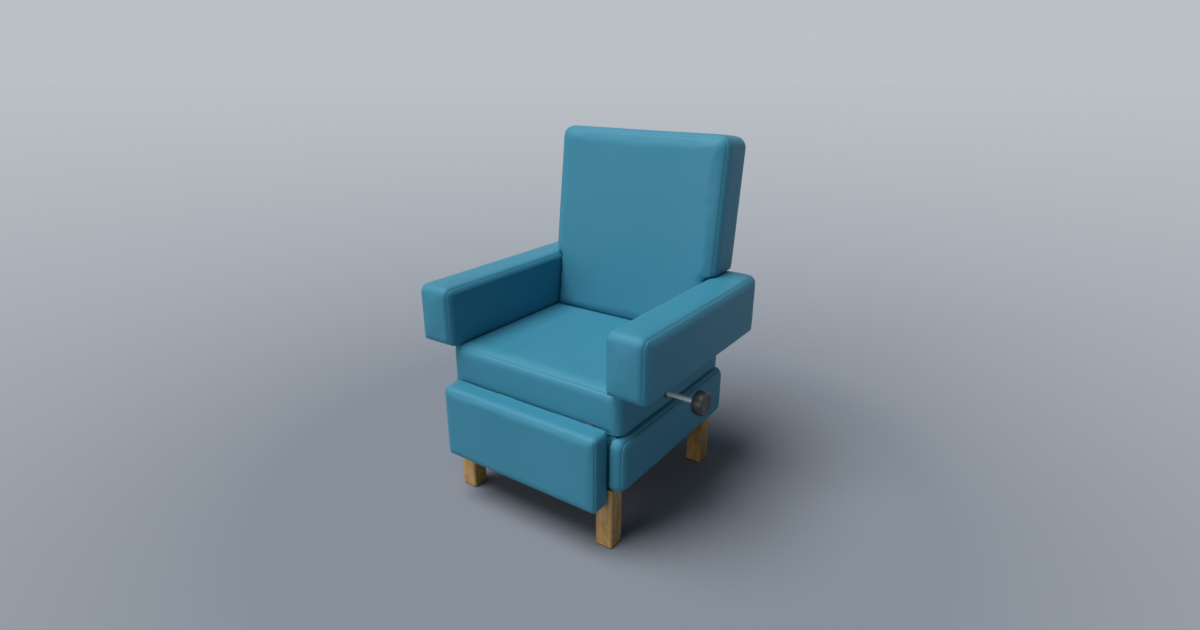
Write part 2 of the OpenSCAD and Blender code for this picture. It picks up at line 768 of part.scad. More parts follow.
module legrest_crank(side) placed() on_side(side) color(dark_steel) difference() {
  low = [legrest_rear, legrest_top - crank_flange_drop - crank_flange_h];
  union() {
    plate_x(crank_in, crank_out) difference() {
      union() {
        translate(legrest_pivot) circle(d = legrest_ear_d);
        intersection() {
          hull() {
            translate(legrest_pivot) circle(d = legrest_ear_d, $fn = hull_fn);
            translate(legrest_pin)
              circle(d = drive_pin_d + 2 * legrest_slot_play + 2 * slot_wall, $fn = hull_fn);
            translate(low) square([flange_t, crank_flange_h]);
          }
          translate([legrest_rear, 0]) square([base_d, seat_top]);
        }
      }
      translate([seat_setback + seat_r, base_top + seat_r]) circle(seat_r + crank_slot_gap);
      crank_slot(legrest_pivot, legrest_crank, legrest_swing / 2, legrest_slot_play);
    }
    box([crank_in, low.x, low.y], [crank_in + crank_flange_w, low.x + flange_t, low.y + crank_flange_h]);
  }
  bar_x(crank_in - over, crank_out + over, legrest_pivot, legrest_pin_d + 2 * fit_gap);
  legrest_screw_holes(legrest_rear - over, legrest_rear + flange_t + over);
}

// Release: the spring presses the rod's pad on the lock plate until the knob is pulled
module rod_housing() placed() color(black) difference() {
  bar_x(housing_in, seat_half, rod_at, housing_d);
  bar_x(housing_in - over, shoulder_x, rod_at, housing_bore);
  bar_x(housing_in, seat_half + over, rod_at, rod_d + 2 * fit_gap);
}

module rod_ring() placed() color(black) difference() {
  bar_x(seat_half, seat_half + ring_t, rod_at, rod_d + 2 * ring_wall);
  bar_x(seat_half - over, seat_half + ring_t + over, rod_at, rod_d + 2 * spring_room);
}

module release_spring() placed() color(steel) difference() {
  bar_x(collar_x + collar_t, shoulder_x, rod_at, spring_d);
  bar_x(collar_x, shoulder_x + over, rod_at, spring_d - 2 * spring_wire);
}

module release_rod() placed() color(steel) {
  bar_x(lock_pad_x + lock_pad_t, knob_in + rod_in_knob, rod_at, rod_d);
  bar_x(collar_x, collar_x + collar_t, rod_at, spring_d);
}

module release_knob() placed() color(black) difference() {
  translate([knob_in, rod_at.x, rod_at.y]) rotate([90, 0, 90]) rotate_extrude() {
    square([knob_d / 2 - knob_edge, knob_t]);
    translate([0, knob_edge]) square([knob_d / 2, knob_t - 2 * knob_edge]);
    for (y = [knob_edge, knob_t - knob_edge]) translate([knob_d / 2 - knob_edge, y]) circle(knob_edge);
  }
  bar_x(knob_in - over, knob_in + rod_in_knob, rod_at, rod_d + 2 * fit_gap);
}

module lock_pad() placed() color(black)
  bar_x(lock_pad_x, lock_pad_x + lock_pad_t, rod_at, lock_pad_d);

// Back frame
module crank_bolt_holes() for (z = crank_bolt_zs)
  bar_x(crank_in - over, stile_out + over, [stile_y + board_t / 2, z], crank_bolt_d + 2 * fit_gap);

module back_stile(side) placed() on_side(side) color(pine) leaned() difference() {
  box([stile_in, stile_y, stile_foot], [stile_out, stile_y + board_t, back_rail_top]);
  crank_bolt_holes();
}

module back_cross_rail(half, z) box([-half, stile_y, z], [half, stile_y + board_t, z + back_rail_h]);

module back_rails() placed() leaned() color(pine) {
  back_cross_rail(crank_in - pin_head_t - fit_gap, stile_foot);
  back_cross_rail(stile_in, back_mid_rail);
  back_cross_rail(back_half - back_wing_wall, back_rail_top);
}

module back_crank_bolts() placed() for (side = [-1, 1]) on_side(side) leaned() color(steel)
  for (z = crank_bolt_zs) bar_x(crank_in, stile_out, [stile_y + board_t / 2, z], crank_bolt_d);

module back_webbing() placed() leaned() color(strap) {
  half = stile_out - strap_end;
  room = back_rail_top - stile_foot - back_rail_h;
  for (i = [1:back_straps])
    translate([-half, stile_y - strap_t, stile_foot + back_rail_h + room * i / (back_straps + 1) - strap_w / 2])
      cube([2 * half, strap_t, strap_w]);
}

// The back's padded block, cut clear of the seat and of the arms under its shoulders
module back_block() difference() {
  leaned() translate([-back_half, back_t, -back_skirt]) rotate([90, 0, 0])
    pad([back_w, back_h + back_skirt, back_t], back_r, crown, draw_in);
  box([-back_w, 0, 0], [back_w, seat_rear + seat_rear_gap, seat_top + back_foot_gap]);
  for (side = [-1, 1]) on_side(side) box([waist_half, 0, 0], [back_w, 2 * base_d, arm_top + shoulder_gap]);
}

module back_cushion() placed() color(vinyl) difference() {
  intersection() {
    back_block();
    leaned() box([-back_w, -over, -back_h], [back_w, stile_y + board_t - soft_gap, 2 * back_h]);
  }
  leaned() {
    front = stile_y - strap_t - soft_gap;
    box([-stile_out - soft_gap, front, stile_foot - soft_gap],
      [stile_out + soft_gap, back_t, back_rail_top + over]);
    box([-back_half + back_wing_wall - soft_gap, stile_y - soft_gap, back_rail_top - soft_gap],
      [back_half - back_wing_wall + soft_gap, back_t, back_rail_top + back_rail_h + soft_gap]);
    for (side = [-1, 1]) on_side(side)
      box([crank_in - crank_slot_gap, front, -back_h], [crank_out + crank_slot_gap, back_t, stile_foot]);
  }
}

module back_panel() placed() color(vinyl) difference() {
  intersection() {
    back_block();
    leaned() box([-back_w, stile_y + board_t + soft_gap, -back_h], [back_w, back_t + over, 2 * back_h]);
  }
  leaned() for (side = [-1, 1]) on_side(side)
    box([crank_in - crank_slot_gap, stile_y, -back_h], [crank_out + crank_slot_gap, back_t + over, stile_foot]);
}

// Legrest
module legrest_screw_zs(y0, y1, d) for (z = [crank_screw_end, crank_flange_h - crank_screw_end])
  bar_y(y0, y1, [crank_in + crank_screw_in, legrest_top - crank_flange_drop - crank_flange_h + z], d);

module legrest_screw_holes(y0, y1) legrest_screw_zs(y0, y1, crank_screw_d + 2 * fit_gap);

module legrest_screws() placed() for (side = [-1, 1]) on_side(side) color(steel) {
  face = legrest_rear + flange_t;
  legrest_screw_zs(legrest_rear - legrest_board_t, face + pin_head_t, crank_screw_d);
  legrest_screw_zs(face, face + pin_head_t, bracket_head_d);
}

module legrest_board_box(gap, back) box(
  [-legrest_w / 2 + board_side - gap, legrest_rear - legrest_board_t - gap,
    legrest_top - legrest_h + legrest_board_low - gap],
  [legrest_w / 2 - board_side + gap, legrest_rear + back, legrest_top - legrest_board_up + gap]);

module legrest_board() placed() color(pine) difference() {
  legrest_board_box(0, 0);
  for (side = [-1, 1]) on_side(side)
    legrest_screw_holes(legrest_rear - legrest_board_t - over, legrest_rear + over);
}

module legrest_cushion() placed() color(vinyl) difference() {
  translate([-legrest_w / 2, legrest_rear, legrest_top - legrest_h]) rotate([90, 0, 0])
    pad([legrest_w, legrest_h, legrest_t], legrest_r, crown, draw_in);
  legrest_board_box(soft_gap, over);
  for (side = [-1, 1]) on_side(side)
    bar_x(ear_in - pin_head_t - pivot_notch_side, crank_out + pin_tail + pivot_notch_side, legrest_pivot,
      legrest_ear_d + 2 * pivot_notch);
}

leg(-1, 0);  // leg_front_left
leg(1, 0);  // leg_front_right
leg(-1, 1);  // leg_rear_left
leg(1, 1);  // leg_rear_right
leg_glides();
leg_plates();
leg_bolts();
base_rail(-1);  // base_rail_left
base_rail(1);  // base_rail_right
base_rail_front();
base_rail_rear();
corner_blocks();
base_cover(-1);  // base_cover_left
base_cover(1);  // base_cover_right
base_cover_rear();
seat_rail(-1);  // seat_rail_left
seat_rail(1);  // seat_rail_right
seat_cross_rail(seat_rail_front);
seat_cross_rail(seat_rail_rear - board_t);
seat_webbing();
seat_cushion();
arm_core(-1);  // arm_core_left
arm_core(1);  // arm_core_right
arm_bars();
arm_bolts();
arm_pad(-1);  // arm_pad_left
arm_pad(1);  // arm_pad_right
legrest_bracket(-1);  // legrest_bracket_left
legrest_bracket(1);  // legrest_bracket_right
recline_bracket(-1);  // recline_bracket_left
recline_bracket(1);  // recline_bracket_right
bracket_bolts();
pivot_pins();
hinge_washers();
bar_guides();
rod_housing();
rod_ring();
release_spring();
release_rod();
release_knob();
lock_pad();
drive_bar(-1);  // drive_bar_left
drive_bar(1);  // drive_bar_right
drive_tube();
drive_pins();
lock_plate();
back_stile(-1);  // back_stile_left
back_stile(1);  // back_stile_right
back_rails();
back_webbing();
back_cushion();
back_panel();
back_crank(-1);  // back_crank_left
back_crank(1);  // back_crank_right
back_crank_bolts();
legrest_board();
legrest_cushion();
legrest_crank(-1);  // legrest_crank_left
legrest_crank(1);  // legrest_crank_right
legrest_screws();
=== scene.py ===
# Visitor recliner, dressed for the studio: padded vinyl, wooden legs, steel linkage and release knob.
import json
import math

import bmesh
import bpy
import numpy as np
from mathutils import Matrix, Vector, noise
from mathutils.bvhtree import BVHTree
from mathutils.kdtree import KDTree


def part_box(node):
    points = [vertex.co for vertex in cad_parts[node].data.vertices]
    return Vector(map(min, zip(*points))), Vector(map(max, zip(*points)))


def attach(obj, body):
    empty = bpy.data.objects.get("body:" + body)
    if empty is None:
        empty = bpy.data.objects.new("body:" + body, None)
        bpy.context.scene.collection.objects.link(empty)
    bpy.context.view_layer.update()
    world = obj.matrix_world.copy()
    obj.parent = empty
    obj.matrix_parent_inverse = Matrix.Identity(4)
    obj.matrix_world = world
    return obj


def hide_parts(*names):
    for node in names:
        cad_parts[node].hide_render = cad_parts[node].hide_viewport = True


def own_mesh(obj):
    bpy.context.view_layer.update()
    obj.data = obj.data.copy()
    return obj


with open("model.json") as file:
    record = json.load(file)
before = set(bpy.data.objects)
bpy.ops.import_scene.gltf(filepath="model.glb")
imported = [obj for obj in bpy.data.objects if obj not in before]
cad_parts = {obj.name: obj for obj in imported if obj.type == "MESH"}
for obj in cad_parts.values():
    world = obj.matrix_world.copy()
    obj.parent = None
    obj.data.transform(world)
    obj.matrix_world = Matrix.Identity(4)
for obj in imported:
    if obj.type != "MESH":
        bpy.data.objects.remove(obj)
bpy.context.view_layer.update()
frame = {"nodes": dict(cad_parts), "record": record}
MM = 0.001
NODES = frame["nodes"]

# The chair's mid plane and base front, which the sizes below are given from, and the back's lean and foot
MID_X = (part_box("arm_pad_left")[0][0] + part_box("arm_pad_right")[1][0]) / 2
FRONT_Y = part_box("base_cover_left")[0][1]
LEAN = math.radians(6.9)
BACK_FOOT = Vector((MID_X, FRONT_Y + 487 * MM, 467 * MM))
BACK_HALF, BACK_HEIGHT, BACK_THICK, BACK_SKIRT = 301.5 * MM, 600 * MM, 153 * MM, 24 * MM
BACK_JOINT, BACK_FRAME_Y, BACK_FRAME_Z = 130 * MM, 108 * MM, (16 * MM, 540 * MM)
LEANED = Matrix.Translation(BACK_FOOT) @ Matrix.Rotation(-LEAN, 4, "X")

# Rounding of each piece's edges, and of the tight ones where two pads meet
SEAT_R, ARM_R, BACK_R, LEGREST_R, BASE_R = 24 * MM, 24 * MM, 34 * MM, 14 * MM, 28 * MM
TIGHT_R, TIGHT_REACH, LOW_REACH = 4 * MM, 13 * MM, 12 * MM

# How far in from a face the middle of a rounding lies, as a share of its radius
HALFWAY = 1 - math.sqrt(0.5)

# Room round what a padded piece encloses, and the half size of a tool that cuts right through the chair
GAP = 0.3 * MM
FAR = 1.0

# Slots, as distances from the mid plane: past the hinges, in the back and in the seat's front edge
CRANK_SLOT = (211.5 * MM, 237 * MM)
BACK_SLOT = (216 * MM, 223 * MM)
LEGREST_CRANK = (215.5 * MM, 223.5 * MM)

# The arms' flat bars, and how far pockets run out of a pad's underside and below the back
BAR_WIDTH, BAR_THICK, BOLT_HEAD = 40 * MM, 8 * MM, 3 * MM
OPEN_BELOW, BELOW_BACK = 10 * MM, 80 * MM

# Grids of the large pads, of the legrest and of the base's covers
VOXEL, LEGREST_VOXEL, BASE_VOXEL = 7 * MM, 5 * MM, 4.5 * MM

# Cloth: frames and pressure, how far points may sink in and slip sideways, and how much of the wrinkles stays
CLOTH_FRAMES, PRESSURE = 20, 4.0
SINK, SLIP = 0.3 * MM, 2 * MM
CALM_ROUNDS, WRINKLE_SHARE = 10, 0.25


# ---- Camera

CAMERA_AT = Vector((MID_X + 1120.95 * MM, FRONT_Y - 1262.69 * MM, 1239.33 * MM))
CAMERA_YAW, CAMERA_PITCH, CAMERA_ROLL = (math.radians(a) for a in (34.68, 20.07, 0.26))
FOCAL_PX, PHOTO_W, SENSOR = 680.5, 1200, 36.0


def add_camera():
    """The camera that the photograph was fitted to."""
    data = bpy.data.cameras.new("studio_camera")
    data.sensor_width = SENSOR
    data.lens = SENSOR * FOCAL_PX / PHOTO_W
    data.clip_start, data.clip_end = 0.05, 60
    camera = bpy.data.objects.new("studio_camera", data)
    bpy.context.scene.collection.objects.link(camera)
    back = Vector((math.sin(CAMERA_YAW) * math.cos(CAMERA_PITCH),
                   -math.cos(CAMERA_YAW) * math.cos(CAMERA_PITCH), math.sin(CAMERA_PITCH)))
    turn = back.to_track_quat("Z", "Y").to_matrix().to_4x4()
    camera.matrix_world = Matrix.Translation(CAMERA_AT) @ turn @ Matrix.Rotation(CAMERA_ROLL, 4, "Z")
    bpy.context.scene.camera = camera


add_camera()


# ---- Shared effects, as node groups

SOCKETS = {"value": "NodeSocketFloat", "color": "NodeSocketColor", "vector": "NodeSocketVector"}


class Tree:
    """Adds and links the nodes of one tree."""

    def __init__(self, tree):
        self.tree = tree

    def add(self, kind, **settings):
        node = self.tree.nodes.new(kind)
        for key, value in settings.items():
            setattr(node, key, value)
        return node

    def feed(self, socket, value):
        if isinstance(value, bpy.types.NodeSocket):
            self.tree.links.new(value, socket)
        else:
            socket.default_value = value

    def node(self, kind, inputs, output=0, **settings):
        """Adds a node, feeds its inputs by label or number, and gives one of its outputs."""
        node = self.add(kind, **settings)
        for label, value in inputs.items():
            self.feed(node.inputs[label], value)
        return node.outputs[output]

    def math(self, operation, a, b=0.0, clamp=False):
        return self.node("ShaderNodeMath", {0: a, 1: b}, operation=operation, use_clamp=clamp)

    def times(self, a, b, clamp=False):
        return self.math("MULTIPLY", a, b, clamp)

    def plus(self, a, b, clamp=False):
        return self.math("ADD", a, b, clamp)

    def minus(self, a, b):
        return self.math("SUBTRACT", a, b)

    def noise(self, vector, scale, detail=2.0, rough=0.5, distortion=0.0):
        inputs = {"Vector": vector, "Scale": scale, "Detail": detail, "Roughness": rough,
                  "Distortion": distortion}
        return self.node("ShaderNodeTexNoise", inputs, "Fac")

    def cells(self, vector, scale):
        """Distance to the nearest edge between rounded cells."""
        inputs = {"Vector": vector, "Scale": scale, "Randomness": 1.0}
        return self.node("ShaderNodeTexVoronoi", inputs, "Distance", feature="DISTANCE_TO_EDGE")

    def stretch(self, vector, scale):
        return self.node("ShaderNodeMapping", {"Vector": vector, "Scale": scale})

    def remap(self, value, low, high, to_low, to_high, kind="SMOOTHSTEP"):
        inputs = dict(enumerate((value, low, high, to_low, to_high)))
        return self.node("ShaderNodeMapRange", inputs, interpolation_type=kind)

    def mix(self, factor, a, b, blend="MIX"):
        inputs = {"Factor": factor, "A": a, "B": b}
        return self.node("ShaderNodeMix", inputs, "Result", data_type="RGBA", blend_type=blend)

    def bump(self, height, strength, distance):
        inputs = {"Strength": strength, "Distance": distance, "Height": height}
        return self.node("ShaderNodeBump", inputs, "Normal")

    def place(self, group, **inputs):
        """Adds a group and feeds its inputs, whose labels are written with underscores."""
        node = self.add("ShaderNodeGroup", node_tree=group)
        for label, value in inputs.items():
            self.feed(node.inputs[label.replace("_", " ").capitalize()], value)
        return node

    def place_at(self):
        """The shaded place in the object's own frame."""
        return self.add("ShaderNodeTexCoord").outputs["Object"]

    def split_place(self):
        """X, Y and Z of the shaded place."""
        node = self.add("ShaderNodeSeparateXYZ")
        self.feed(node.inputs[0], self.place_at())
        return node.outputs

    def finish(self, inputs):
        """Feeds the inputs of a material's shader."""
        shader = self.tree.nodes["Principled BSDF"]
        for label, value in inputs.items():
            self.feed(shader.inputs[label], value)


def open_group(name, inputs, outputs):
    """A group with inputs (name, kind, default) and outputs (name, kind), its tree and its ends' sockets."""
    group = bpy.data.node_groups.new(name, "ShaderNodeTree")
    for label, kind, default in inputs:
        socket = group.interface.new_socket(label, in_out="INPUT", socket_type=SOCKETS[kind])
        socket.default_value = default
    for label, kind in outputs:
        group.interface.new_socket(label, in_out="OUTPUT", socket_type=SOCKETS[kind])
    tree = Tree(group)
    given = tree.add("NodeGroupInput").outputs
    return group, tree, given, tree.add("NodeGroupOutput").inputs


def make_tone_drift():
    """Slow change of a colour over a surface, as between dye lots and handled places."""
    group, t, given, out = open_group(
        "Tone drift",
        [("Color", "color", (0.5, 0.5, 0.5, 1)), ("Amount", "value", 0.1), ("Scale", "value", 4.0)],
        [("Color", "color")])
    wide = t.noise(t.place_at(), given["Scale"], 3.0, 0.55)
    shift = t.times(t.minus(wide, 0.5), given["Amount"])
    paler = t.minus(1.0, t.times(shift, 0.5))
    inputs = {"Value": t.plus(1.0, shift), "Saturation": paler, "Color": given["Color"]}
    t.feed(out["Color"], t.node("ShaderNodeHueSaturation", inputs))
    return group


def make_hide_grain():
    """Embossed pebbles of coated fabric: rounded cells with fine creases between them."""
    group, t, given, out = open_group(
        "Hide grain", [("Scale", "value", 700.0), ("Crease", "value", 0.5)],
        [("Height", "value"), ("Mask", "value")])
    place = t.place_at()
    warp = t.noise(place, t.times(given["Scale"], 0.25), 2.0)
    push = t.times(warp, 0.002)
    pushed = t.node("ShaderNodeVectorMath", {0: place, "Scale": push}, operation="SCALE")
    bent = t.node("ShaderNodeVectorMath", {0: place, 1: pushed}, operation="ADD")
    pebble = t.remap(t.cells(bent, given["Scale"]), 0.0, 0.22, 0.0, 1.0)
    fine = t.noise(place, t.times(given["Scale"], 3.0), 2.0)
    creases = t.times(fine, t.times(given["Crease"], 0.4))
    t.feed(out["Height"], t.plus(pebble, creases))
    t.feed(out["Mask"], pebble)
    return group


def make_handling():
    """Roughness that varies where hands, cloths and dust have been."""
    group, t, given, out = open_group(
        "Handling", [("Roughness", "value", 0.5), ("Spread", "value", 0.1), ("Scale", "value", 9.0)],
        [("Roughness", "value"), ("Dust", "value")])
    place = t.place_at()
    cloud = t.noise(place, given["Scale"], 4.0, 0.6, 0.3)
    streak = t.noise(t.stretch(place, (3.0, 18.0, 3.0)), 6.0, 3.0)
    both = t.minus(t.times(t.plus(cloud, streak), 0.5), 0.5)
    varied = t.plus(given["Roughness"], t.times(both, given["Spread"]), clamp=True)
    t.feed(out["Roughness"], varied)
    t.feed(out["Dust"], t.remap(cloud, 0.55, 0.8, 0.0, 1.0))
    return group


def make_wood_grain():
    """Straight grain along Z: growth bands, pores and short darker flecks."""
    group, t, given, out = open_group(
        "Wood grain", [("Light", "color", (0.6, 0.4, 0.2, 1)), ("Dark", "color", (0.3, 0.2, 0.1, 1)),
                       ("Along", "vector", (26.0, 26.0, 2.2))],
        [("Color", "color"), ("Height", "value")])
    grain = t.stretch(t.place_at(), given["Along"])
    bands = t.noise(grain, 1.6, 5.0, 0.62, 1.1)
    pores = t.noise(grain, 22.0, 2.0, 0.7)
    flecks = t.remap(pores, 0.60, 0.74, 0.0, 1.0)
    tone = t.remap(bands, 0.34, 0.68, 0.0, 1.0)
    plain = t.mix(tone, given["Light"], given["Dark"])
    t.feed(out["Color"], t.mix(t.times(flecks, 0.35), plain, given["Dark"], "MULTIPLY"))
    t.feed(out["Height"], t.minus(t.times(tone, 0.3), t.times(flecks, 0.7)))
    return group


def make_brushing():
    """Fine streaks of drawn or brushed metal along one direction."""
    group, t, given, out = open_group(
        "Brushing", [("Along", "vector", (8.0, 900.0, 900.0))], [("Height", "value"), ("Mask", "value")])
    lines = t.noise(t.stretch(t.place_at(), given["Along"]), 1.0, 3.0, 0.6)
    t.feed(out["Height"], lines)
    t.feed(out["Mask"], t.remap(lines, 0.35, 0.65, 0.0, 1.0))
    return group


def make_weave():
    """Narrow woven tape: ribs across it and coloured threads along it."""
    group, t, given, out = open_group(
        "Weave", [("Pitch", "value", 1500.0)], [("Height", "value"), ("Mask", "value")])
    place = t.split_place()

    def wave(way):
        return t.math("SINE", t.times(place[way], given["Pitch"]))
    over, cross = (t.times(wave("X"), wave(way)) for way in ("Y", "Z"))
    both = t.times(t.plus(over, cross), 0.5)
    t.feed(out["Height"], t.remap(both, -1.0, 1.0, 0.0, 1.0, "LINEAR"))
    t.feed(out["Mask"], t.remap(both, -0.4, 0.4, 0.0, 1.0))
    return group


def make_edge_wear():
    """Where outer edges are rubbed: more on sharp bends, broken up by a patchy noise."""
    group, t, given, out = open_group(
        "Edge wear", [("Start", "value", 0.52), ("Full", "value", 0.58), ("Scale", "value", 60.0)],
        [("Mask", "value")])
    sharp = t.add("ShaderNodeNewGeometry").outputs["Pointiness"]
    bend = t.remap(sharp, given["Start"], given["Full"], 0.0, 1.0)
    patches = t.remap(t.noise(t.place_at(), given["Scale"], 4.0, 0.65), 0.40, 0.62, 0.0, 1.0)
    t.feed(out["Mask"], t.times(bend, patches, clamp=True))
    return group


TONE_DRIFT, HIDE_GRAIN, HANDLING = make_tone_drift(), make_hide_grain(), make_handling()
EDGE_WEAR = make_edge_wear()
WOOD_GRAIN, BRUSHING, WEAVE = make_wood_grain(), make_brushing(), make_weave()


# ---- Materials

# Colours of painted shade in the creases of the vinyl's grain and of worn places: vinyl, wood, and dust and
# chips on a coating
CREASE_SHADE, FADED = (0.35, 0.45, 0.50, 1), (0.20, 0.42, 0.52, 1)
BARE_WOOD = (0.66, 0.45, 0.22, 1)
DUST, CHIPPED = (0.30, 0.30, 0.30, 1), (0.22, 0.22, 0.23, 1)


def new_material(name):
    """A material and the tree that its nodes go in."""
    material = bpy.data.materials.new(name)
    material.use_nodes = True
    return material, Tree(material.node_tree)


def make_vinyl(name, color, rough, grain):
    material, t = new_material(name)
    drift = t.place(TONE_DRIFT, color=(*color, 1), amount=0.10, scale=3.5)
    pebbles = t.place(HIDE_GRAIN, scale=grain, crease=0.6)
    handled = t.place(HANDLING, roughness=rough, spread=0.16, scale=7.0)
    rubbed = t.place(EDGE_WEAR, start=0.515, full=0.60, scale=35.0).outputs["Mask"]
    # Painted shade: the creases between the grain's pebbles are darkened towards a grey blue
    creases = t.times(t.minus(1.0, pebbles.outputs["Mask"]), 0.22)
    crease_shaded = t.mix(creases, drift.outputs["Color"], CREASE_SHADE, "MULTIPLY")
    polish = t.times(rubbed, 0.10)
    t.finish({"Base Color": t.mix(t.times(rubbed, 0.22), crease_shaded, FADED),
              "Roughness": t.minus(handled.outputs["Roughness"], polish),
              "Normal": t.bump(pebbles.outputs["Height"], 0.35, 0.00025),
              "Specular IOR Level": 0.22})
    return material


def make_thread(name, color):
    material, t = new_material(name)
    twist = t.place(WEAVE, pitch=5200.0)
    # Painted shade: the thread is darker in the low grooves of its twist
    t.finish({"Base Color": t.mix(twist.outputs["Mask"], (*[c * 0.6 for c in color], 1), (*color, 1)),
              "Normal": t.bump(twist.outputs["Height"], 0.3, 0.0002),
              "Roughness": 0.7})
    return material


def make_wood(name, light, dark, along, rough, coat):
    material, t = new_material(name)
    grain = t.place(WOOD_GRAIN, light=(*light, 1), dark=(*dark, 1), along=along)
    drift = t.place(TONE_DRIFT, color=grain.outputs["Color"], amount=0.18, scale=6.0)
    worn = t.place(HANDLING, roughness=rough, spread=0.2, scale=14.0)
    rubbed = t.times(t.place(EDGE_WEAR, start=0.52, full=0.62, scale=45.0).outputs["Mask"], 0.35)
    t.finish({"Base Color": t.mix(rubbed, drift.outputs["Color"], BARE_WOOD),
              "Roughness": worn.outputs["Roughness"],
              "Normal": t.bump(grain.outputs["Height"], 0.25, 0.0004),
              "Specular IOR Level": 0.3, "Coat Weight": coat, "Coat Roughness": 0.25})
    return material


def make_metal(name, color, rough, metallic=1.0):
    material, t = new_material(name)
    lines = t.place(BRUSHING, along=(8.0, 900.0, 900.0))
    worn = t.place(HANDLING, roughness=rough, spread=0.22, scale=30.0)
    streaks = t.times(lines.outputs["Mask"], 0.25)
    t.finish({"Base Color": t.mix(streaks, (*color, 1), (*[c * 0.75 for c in color], 1)),
              "Roughness": worn.outputs["Roughness"],
              "Normal": t.bump(lines.outputs["Height"], 0.12, 0.0001),
              "Metallic": metallic})
    return material


def make_coating(name, color, rough, grain, strength):
    """Powder coat or moulded plastic: dark, with a fine orange-peel surface."""
    material, t = new_material(name)
    pebbles = t.place(HIDE_GRAIN, scale=grain, crease=0.8)
    worn = t.place(HANDLING, roughness=rough, spread=0.2, scale=25.0)
    dusty = t.mix(t.times(worn.outputs["Dust"], 0.12), (*color, 1), DUST)
    rubbed = t.times(t.place(EDGE_WEAR, start=0.53, full=0.66, scale=120.0).outputs["Mask"], 0.4)
    t.finish({"Base Color": t.mix(rubbed, dusty, CHIPPED),
              "Roughness": worn.outputs["Roughness"],
              "Normal": t.bump(pebbles.outputs["Height"], strength, 0.00012)})
    return material


def make_strap(name, color, stripe):
    material, t = new_material(name)
    weave = t.place(WEAVE, pitch=1900.0)
    drift = t.place(TONE_DRIFT, color=(*color, 1), amount=0.2, scale=20.0)
    threads = t.times(weave.outputs["Mask"], 0.45)
    t.finish({"Base Color": t.mix(threads, drift.outputs["Color"], (*stripe, 1)),
              "Normal": t.bump(weave.outputs["Height"], 0.6, 0.0004),
              "Roughness": 0.85})
    return material


TEAL = (0.050, 0.258, 0.380)
VINYL = make_vinyl("teal_vinyl", TEAL, 0.46, 620.0)
THREAD = make_thread("teal_thread", tuple(c * 1.25 for c in TEAL))
BEECH = make_wood("leg_beech", (0.56, 0.335, 0.118), (0.37, 0.195, 0.060), (30.0, 30.0, 2.6), 0.46, 0.04)
FRAME_WOOD = make_wood("frame_softwood", (0.60, 0.44, 0.24), (0.42, 0.27, 0.13), (22.0, 22.0, 22.0), 0.7, 0.0)
STEEL = make_metal("bright_steel", (0.87, 0.88, 0.90), 0.28)
# The release rod's own steel: paler and barely metallic, painted light that makes it look lit in the arm's
# shadow
ROD_STEEL_LIGHTENED = make_metal("rod_steel_lightened", (0.93, 0.95, 0.98), 0.36, 0.2)
BLACK_STEEL = make_coating("black_powder_coat", (0.020, 0.020, 0.022), 0.45, 1500.0, 0.4)
BLACK_PLASTIC = make_coating("black_plastic", (0.036, 0.035, 0.038), 0.40, 2600.0, 0.25)
STRAP = make_strap("woven_strap", (0.16, 0.165, 0.155), (0.05, 0.05, 0.048))
SLOT_MATERIALS = {"vinyl": VINYL, "beech": BEECH, "frame_wood": FRAME_WOOD, "webbing": STRAP, "steel": STEEL,
                  "black_steel": BLACK_STEEL, "black_plastic": BLACK_PLASTIC}


def finish_frame_nodes():
    """Every carried-over node gets its slot's material, except the release rod, whose paler, barely metallic
    steel is painted light, and wood gets slightly broken edges.
    """
    broken = {"beech": 1.2 * MM, "frame_wood": 0.8 * MM}
    slots = {piece["node"]: piece["material_slot"] for piece in frame["record"]["subparts"]}
    for name, node in NODES.items():
        for spot in node.material_slots:
            spot.material = ROD_STEEL_LIGHTENED if name == "release_rod" else SLOT_MATERIALS[slots[name]]
        if slots[name] in broken:
            edge = node.modifiers.new("broken_edges", "BEVEL")
            edge.width = broken[slots[name]]
            edge.segments = 2
            edge.limit_method = "ANGLE"
            edge.angle_limit = math.radians(40)
            edge.harden_normals = False


finish_frame_nodes()


# ---- Mesh tools

def new_piece(name, mesh, material):
    """A smooth object in the scene, with one material."""
    for face in mesh.polygons:
        face.use_smooth = True
    mesh.materials.clear()
    mesh.materials.append(material)
    piece = bpy.data.objects.new(name, mesh)
    bpy.context.scene.collection.objects.link(piece)
    return piece


def get_points(mesh, kind="co"):
    """A row for each point: its place, or its normal for the kind "normal"."""
    points = np.empty(len(mesh.vertices) * 3)
    mesh.vertices.foreach_get(kind, points)
    return points.reshape(-1, 3)


def set_points(mesh, points):
    mesh.vertices.foreach_set("co", np.asarray(points, float).ravel())
    mesh.update()


def surface_of(mesh):
    """A search tree for the nearest place on a mesh."""
    return BVHTree.FromPolygons([v.co for v in mesh.vertices], [p.vertices for p in mesh.polygons])


def applied(piece):
    """The piece with its modifiers applied."""
    bpy.context.view_layer.update()
    graph = bpy.context.evaluated_depsgraph_get()
    mesh = bpy.data.meshes.new_from_object(piece.evaluated_get(graph), depsgraph=graph)
    piece.modifiers.clear()
    old, piece.data = piece.data, mesh
    bpy.data.meshes.remove(old)
    return piece


def to_mesh(bm, name):
    """The mesh of what was built, which is then let go."""
    mesh = bpy.data.meshes.new(name)
    bm.to_mesh(mesh)
    bm.free()
    return mesh


def spread_cube(bm, low, high):
    """Stretches a unit cube between two corners."""
    for vert in bm.verts:
        vert.co = Vector(((low[i] + high[i]) / 2 + vert.co[i] * (high[i] - low[i])) for i in range(3))


